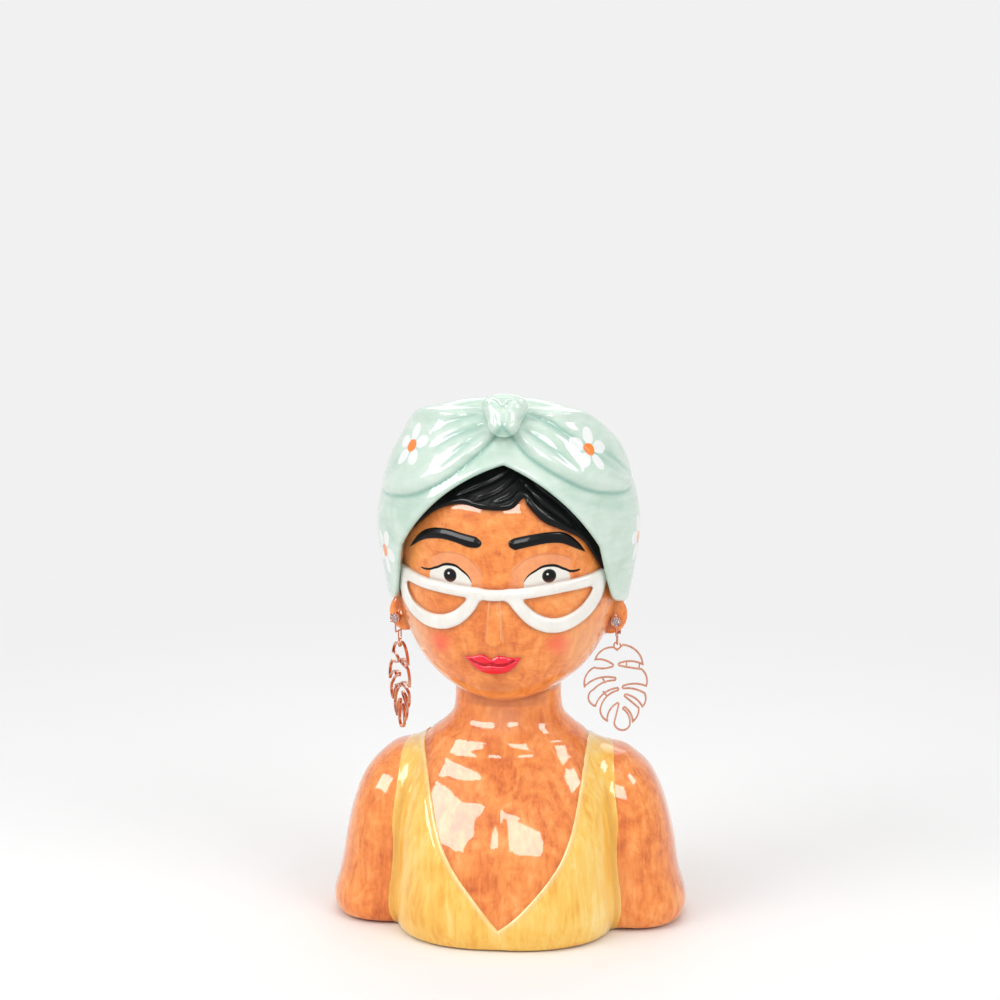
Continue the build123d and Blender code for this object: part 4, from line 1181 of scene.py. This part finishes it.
# Daisies: four in the photo's places, by place and turn, and ten more round the back, by direction
DAISIES = [(-42.0, -31.9, 243.5, 12), (39.8, -35.0, 242.8, 30), (-58.7, -24.6, 191.4, 50),
           (64.5, -9.0, 197.4, 5)]
for angle, height, turn in ((112, 236, 20), (-116, 232, 40), (98, 176, 0), (-104, 168, 25), (142, 205, 10),
                            (-140, 198, 33), (171, 240, 15), (-172, 174, 50), (165, 165, 5), (128, 160, 44)):
    t = math.radians(angle)
    DAISIES.append((64 * math.sin(t), -60 * math.cos(t), height, turn))
uv = np.zeros((len(at), 3))
best = np.full(len(at), 1e9)
for cx, cy, cz, turn in DAISIES:
    centre = at[np.argmin(((at - (cx, cy, cz)) ** 2).sum(1) + 1e6 * (room < 3))]
    outward = np.array([centre[0], centre[1], 0.35 * (cz - 205)])
    outward /= np.linalg.norm(outward)
    side = np.cross(outward, (0, 0, 1.0))
    side /= np.linalg.norm(side)
    gap = at - centre
    far = np.sqrt((gap ** 2).sum(1))
    nearer = far < best
    t = math.radians(turn)
    a, b = gap @ side, gap @ np.cross(side, outward)
    uv[nearer] = np.stack([a * math.cos(t) + b * math.sin(t), b * math.cos(t) - a * math.sin(t),
                           far + 20 * smooth(2.5, 1.0, room)], 1)[nearer]
    best = np.where(nearer, far, best)
paint(piece.data, "daisy", uv)

# painted shade and darker red pooled along the mouth line
piece, at = made["lip_relief"]
paint(piece.data, "pool_and_shade", 0.85 * bell(mouth_line(at[:, 0], at[:, 2]), 0.55))
piece, at = made["camisole_relief"]
paint(piece.data, "edge", bell(1.0 - neck_gap(at), 1.1))
# painted shade in the crease where the arms leave the chest
paint(piece.data, "pool_and_shade", bell(sample(arm_gap, at), 2.5) * smooth(80, 66, at[:, 2]))

# Earrings keep their CAD solids and get metal and crystal.
GOLD, GEM = rose_gold(), crystal()
for name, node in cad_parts.items():
    if name.startswith("earring_"):
        node.data.materials.clear()
        node.data.materials.append(GEM if "stone" in name else GOLD)


# Floor, light and camera

PALE = 0.88


def shows_background(tree):
    """1 for the rays that should see the pale background: camera, glossy and transmission."""
    path = tree.nodes.new("ShaderNodeLightPath")
    found = path.outputs["Is Camera Ray"]
    for name in ("Is Glossy Ray", "Is Transmission Ray"):
        add = tree.nodes.new("ShaderNodeMath")
        add.operation, add.use_clamp = "ADD", True
        tree.links.new(found, add.inputs[0])
        tree.links.new(path.outputs[name], add.inputs[1])
        found = add.outputs[0]
    return found


def floor_material():
    """Pale paper that keeps the shadow near the pot and runs out into the background."""
    g = Graph("floor_paper")
    place = g.node("TexCoord").outputs["Object"]
    where = g.node("VectorMath", {0: place}, operation="LENGTH").outputs["Value"]
    far = g.mul(g.step(where, 0.22, 1.1), shows_background(g.tree))
    diffuse = g.node("BsdfDiffuse", {"Color": (0.90, 0.90, 0.90)})
    plain = g.node("Emission", {"Color": (PALE, PALE, PALE), "Strength": 1.0})
    return g.surface(g.node("MixShader", {0: far, 1: diffuse.outputs[0], 2: plain.outputs[0]}))


floor_mesh = bpy.data.meshes.new("floor")
floor_mesh.from_pydata([(-4, -4, 0), (4, -4, 0), (4, 4, 0), (-4, 4, 0)], [], [(0, 1, 2, 3)])
floor = placed("floor", floor_mesh)
floor_mesh.materials.append(floor_material())
floor.location.z = -0.0002

world = bpy.data.worlds.new("studio")
bpy.context.scene.world = world
world.use_nodes = True
tree = world.node_tree
tree.nodes.clear()
world_output = tree.nodes.new("ShaderNodeOutputWorld")
mixed = tree.nodes.new("ShaderNodeMixShader")
for socket, strength in ((1, 0.53), (2, PALE)):
    plain = tree.nodes.new("ShaderNodeBackground")
    plain.inputs[0].default_value = (1, 1, 1, 1)
    plain.inputs[1].default_value = strength
    tree.links.new(plain.outputs[0], mixed.inputs[socket])
tree.links.new(shows_background(tree), mixed.inputs[0])
tree.links.new(mixed.outputs[0], world_output.inputs[0])


AIM = Vector((0, 0, 0.14))


def soft_box(name, azimuth, height, distance, width, tall, radiance, gloss=True, diffuse=True):
    """A soft box aimed at the pot, placed by the direction in which it stands."""
    turn, rise = math.radians(azimuth), math.radians(height)
    towards = Vector((math.sin(turn) * math.cos(rise), -math.cos(turn) * math.cos(rise), math.sin(rise)))
    lamp = bpy.data.lights.new(name, "AREA")
    lamp.shape = "RECTANGLE"
    lamp.size, lamp.size_y = width, tall
    lamp.energy = radiance * math.pi * width * tall
    box = placed(name, lamp)
    box.location = AIM + towards * distance
    box.rotation_euler = (-towards).to_track_quat("-Z", "Y").to_euler()
    box.visible_glossy, box.visible_diffuse = gloss, diffuse


# name, direction in degrees, degrees up, distance, width and height in metres, radiance
soft_box("key", -50, 32, 1.7, 0.9, 0.9, 4.0, gloss=False)
soft_box("fill", 48, 30, 1.7, 0.9, 0.9, 3.2, gloss=False)
soft_box("top", 0, 80, 1.7, 1.3, 1.0, 1.8)
soft_box("back", 180, 40, 1.9, 1.4, 0.9, 1.6)
soft_box("window_left", -50, 30, 1.6, 1.35, 0.60, 13.0, diffuse=False)
soft_box("window_front", 10, 26, 1.6, 0.62, 0.46, 13.0, diffuse=False)
soft_box("window_right", 78, 42, 1.6, 0.50, 0.45, 13.0, diffuse=False)

CAMERA_AZIMUTH, CAMERA_PITCH, CAMERA_DISTANCE = math.radians(5.3), math.radians(8.0), 1.1
AIM_HEIGHT, AIM_LEFT = 0.2136, 0.0045
camera_data = bpy.data.cameras.new("camera")
camera_data.sensor_width = 36.0
camera_data.lens = 79.2
camera_data.clip_start = 0.05
camera = placed("camera", camera_data)
across = np.array([math.cos(CAMERA_AZIMUTH), math.sin(CAMERA_AZIMUTH), 0])
back = np.array([math.sin(CAMERA_AZIMUTH) * math.cos(CAMERA_PITCH),
                 -math.cos(CAMERA_AZIMUTH) * math.cos(CAMERA_PITCH), math.sin(CAMERA_PITCH)])
camera.location = np.array([0, 0, AIM_HEIGHT]) - across * AIM_LEFT + back * CAMERA_DISTANCE
camera.rotation_euler = (math.pi / 2 - CAMERA_PITCH, 0, CAMERA_AZIMUTH)
bpy.context.scene.camera = camera
bpy.context.scene.view_settings.view_transform = "Standard"
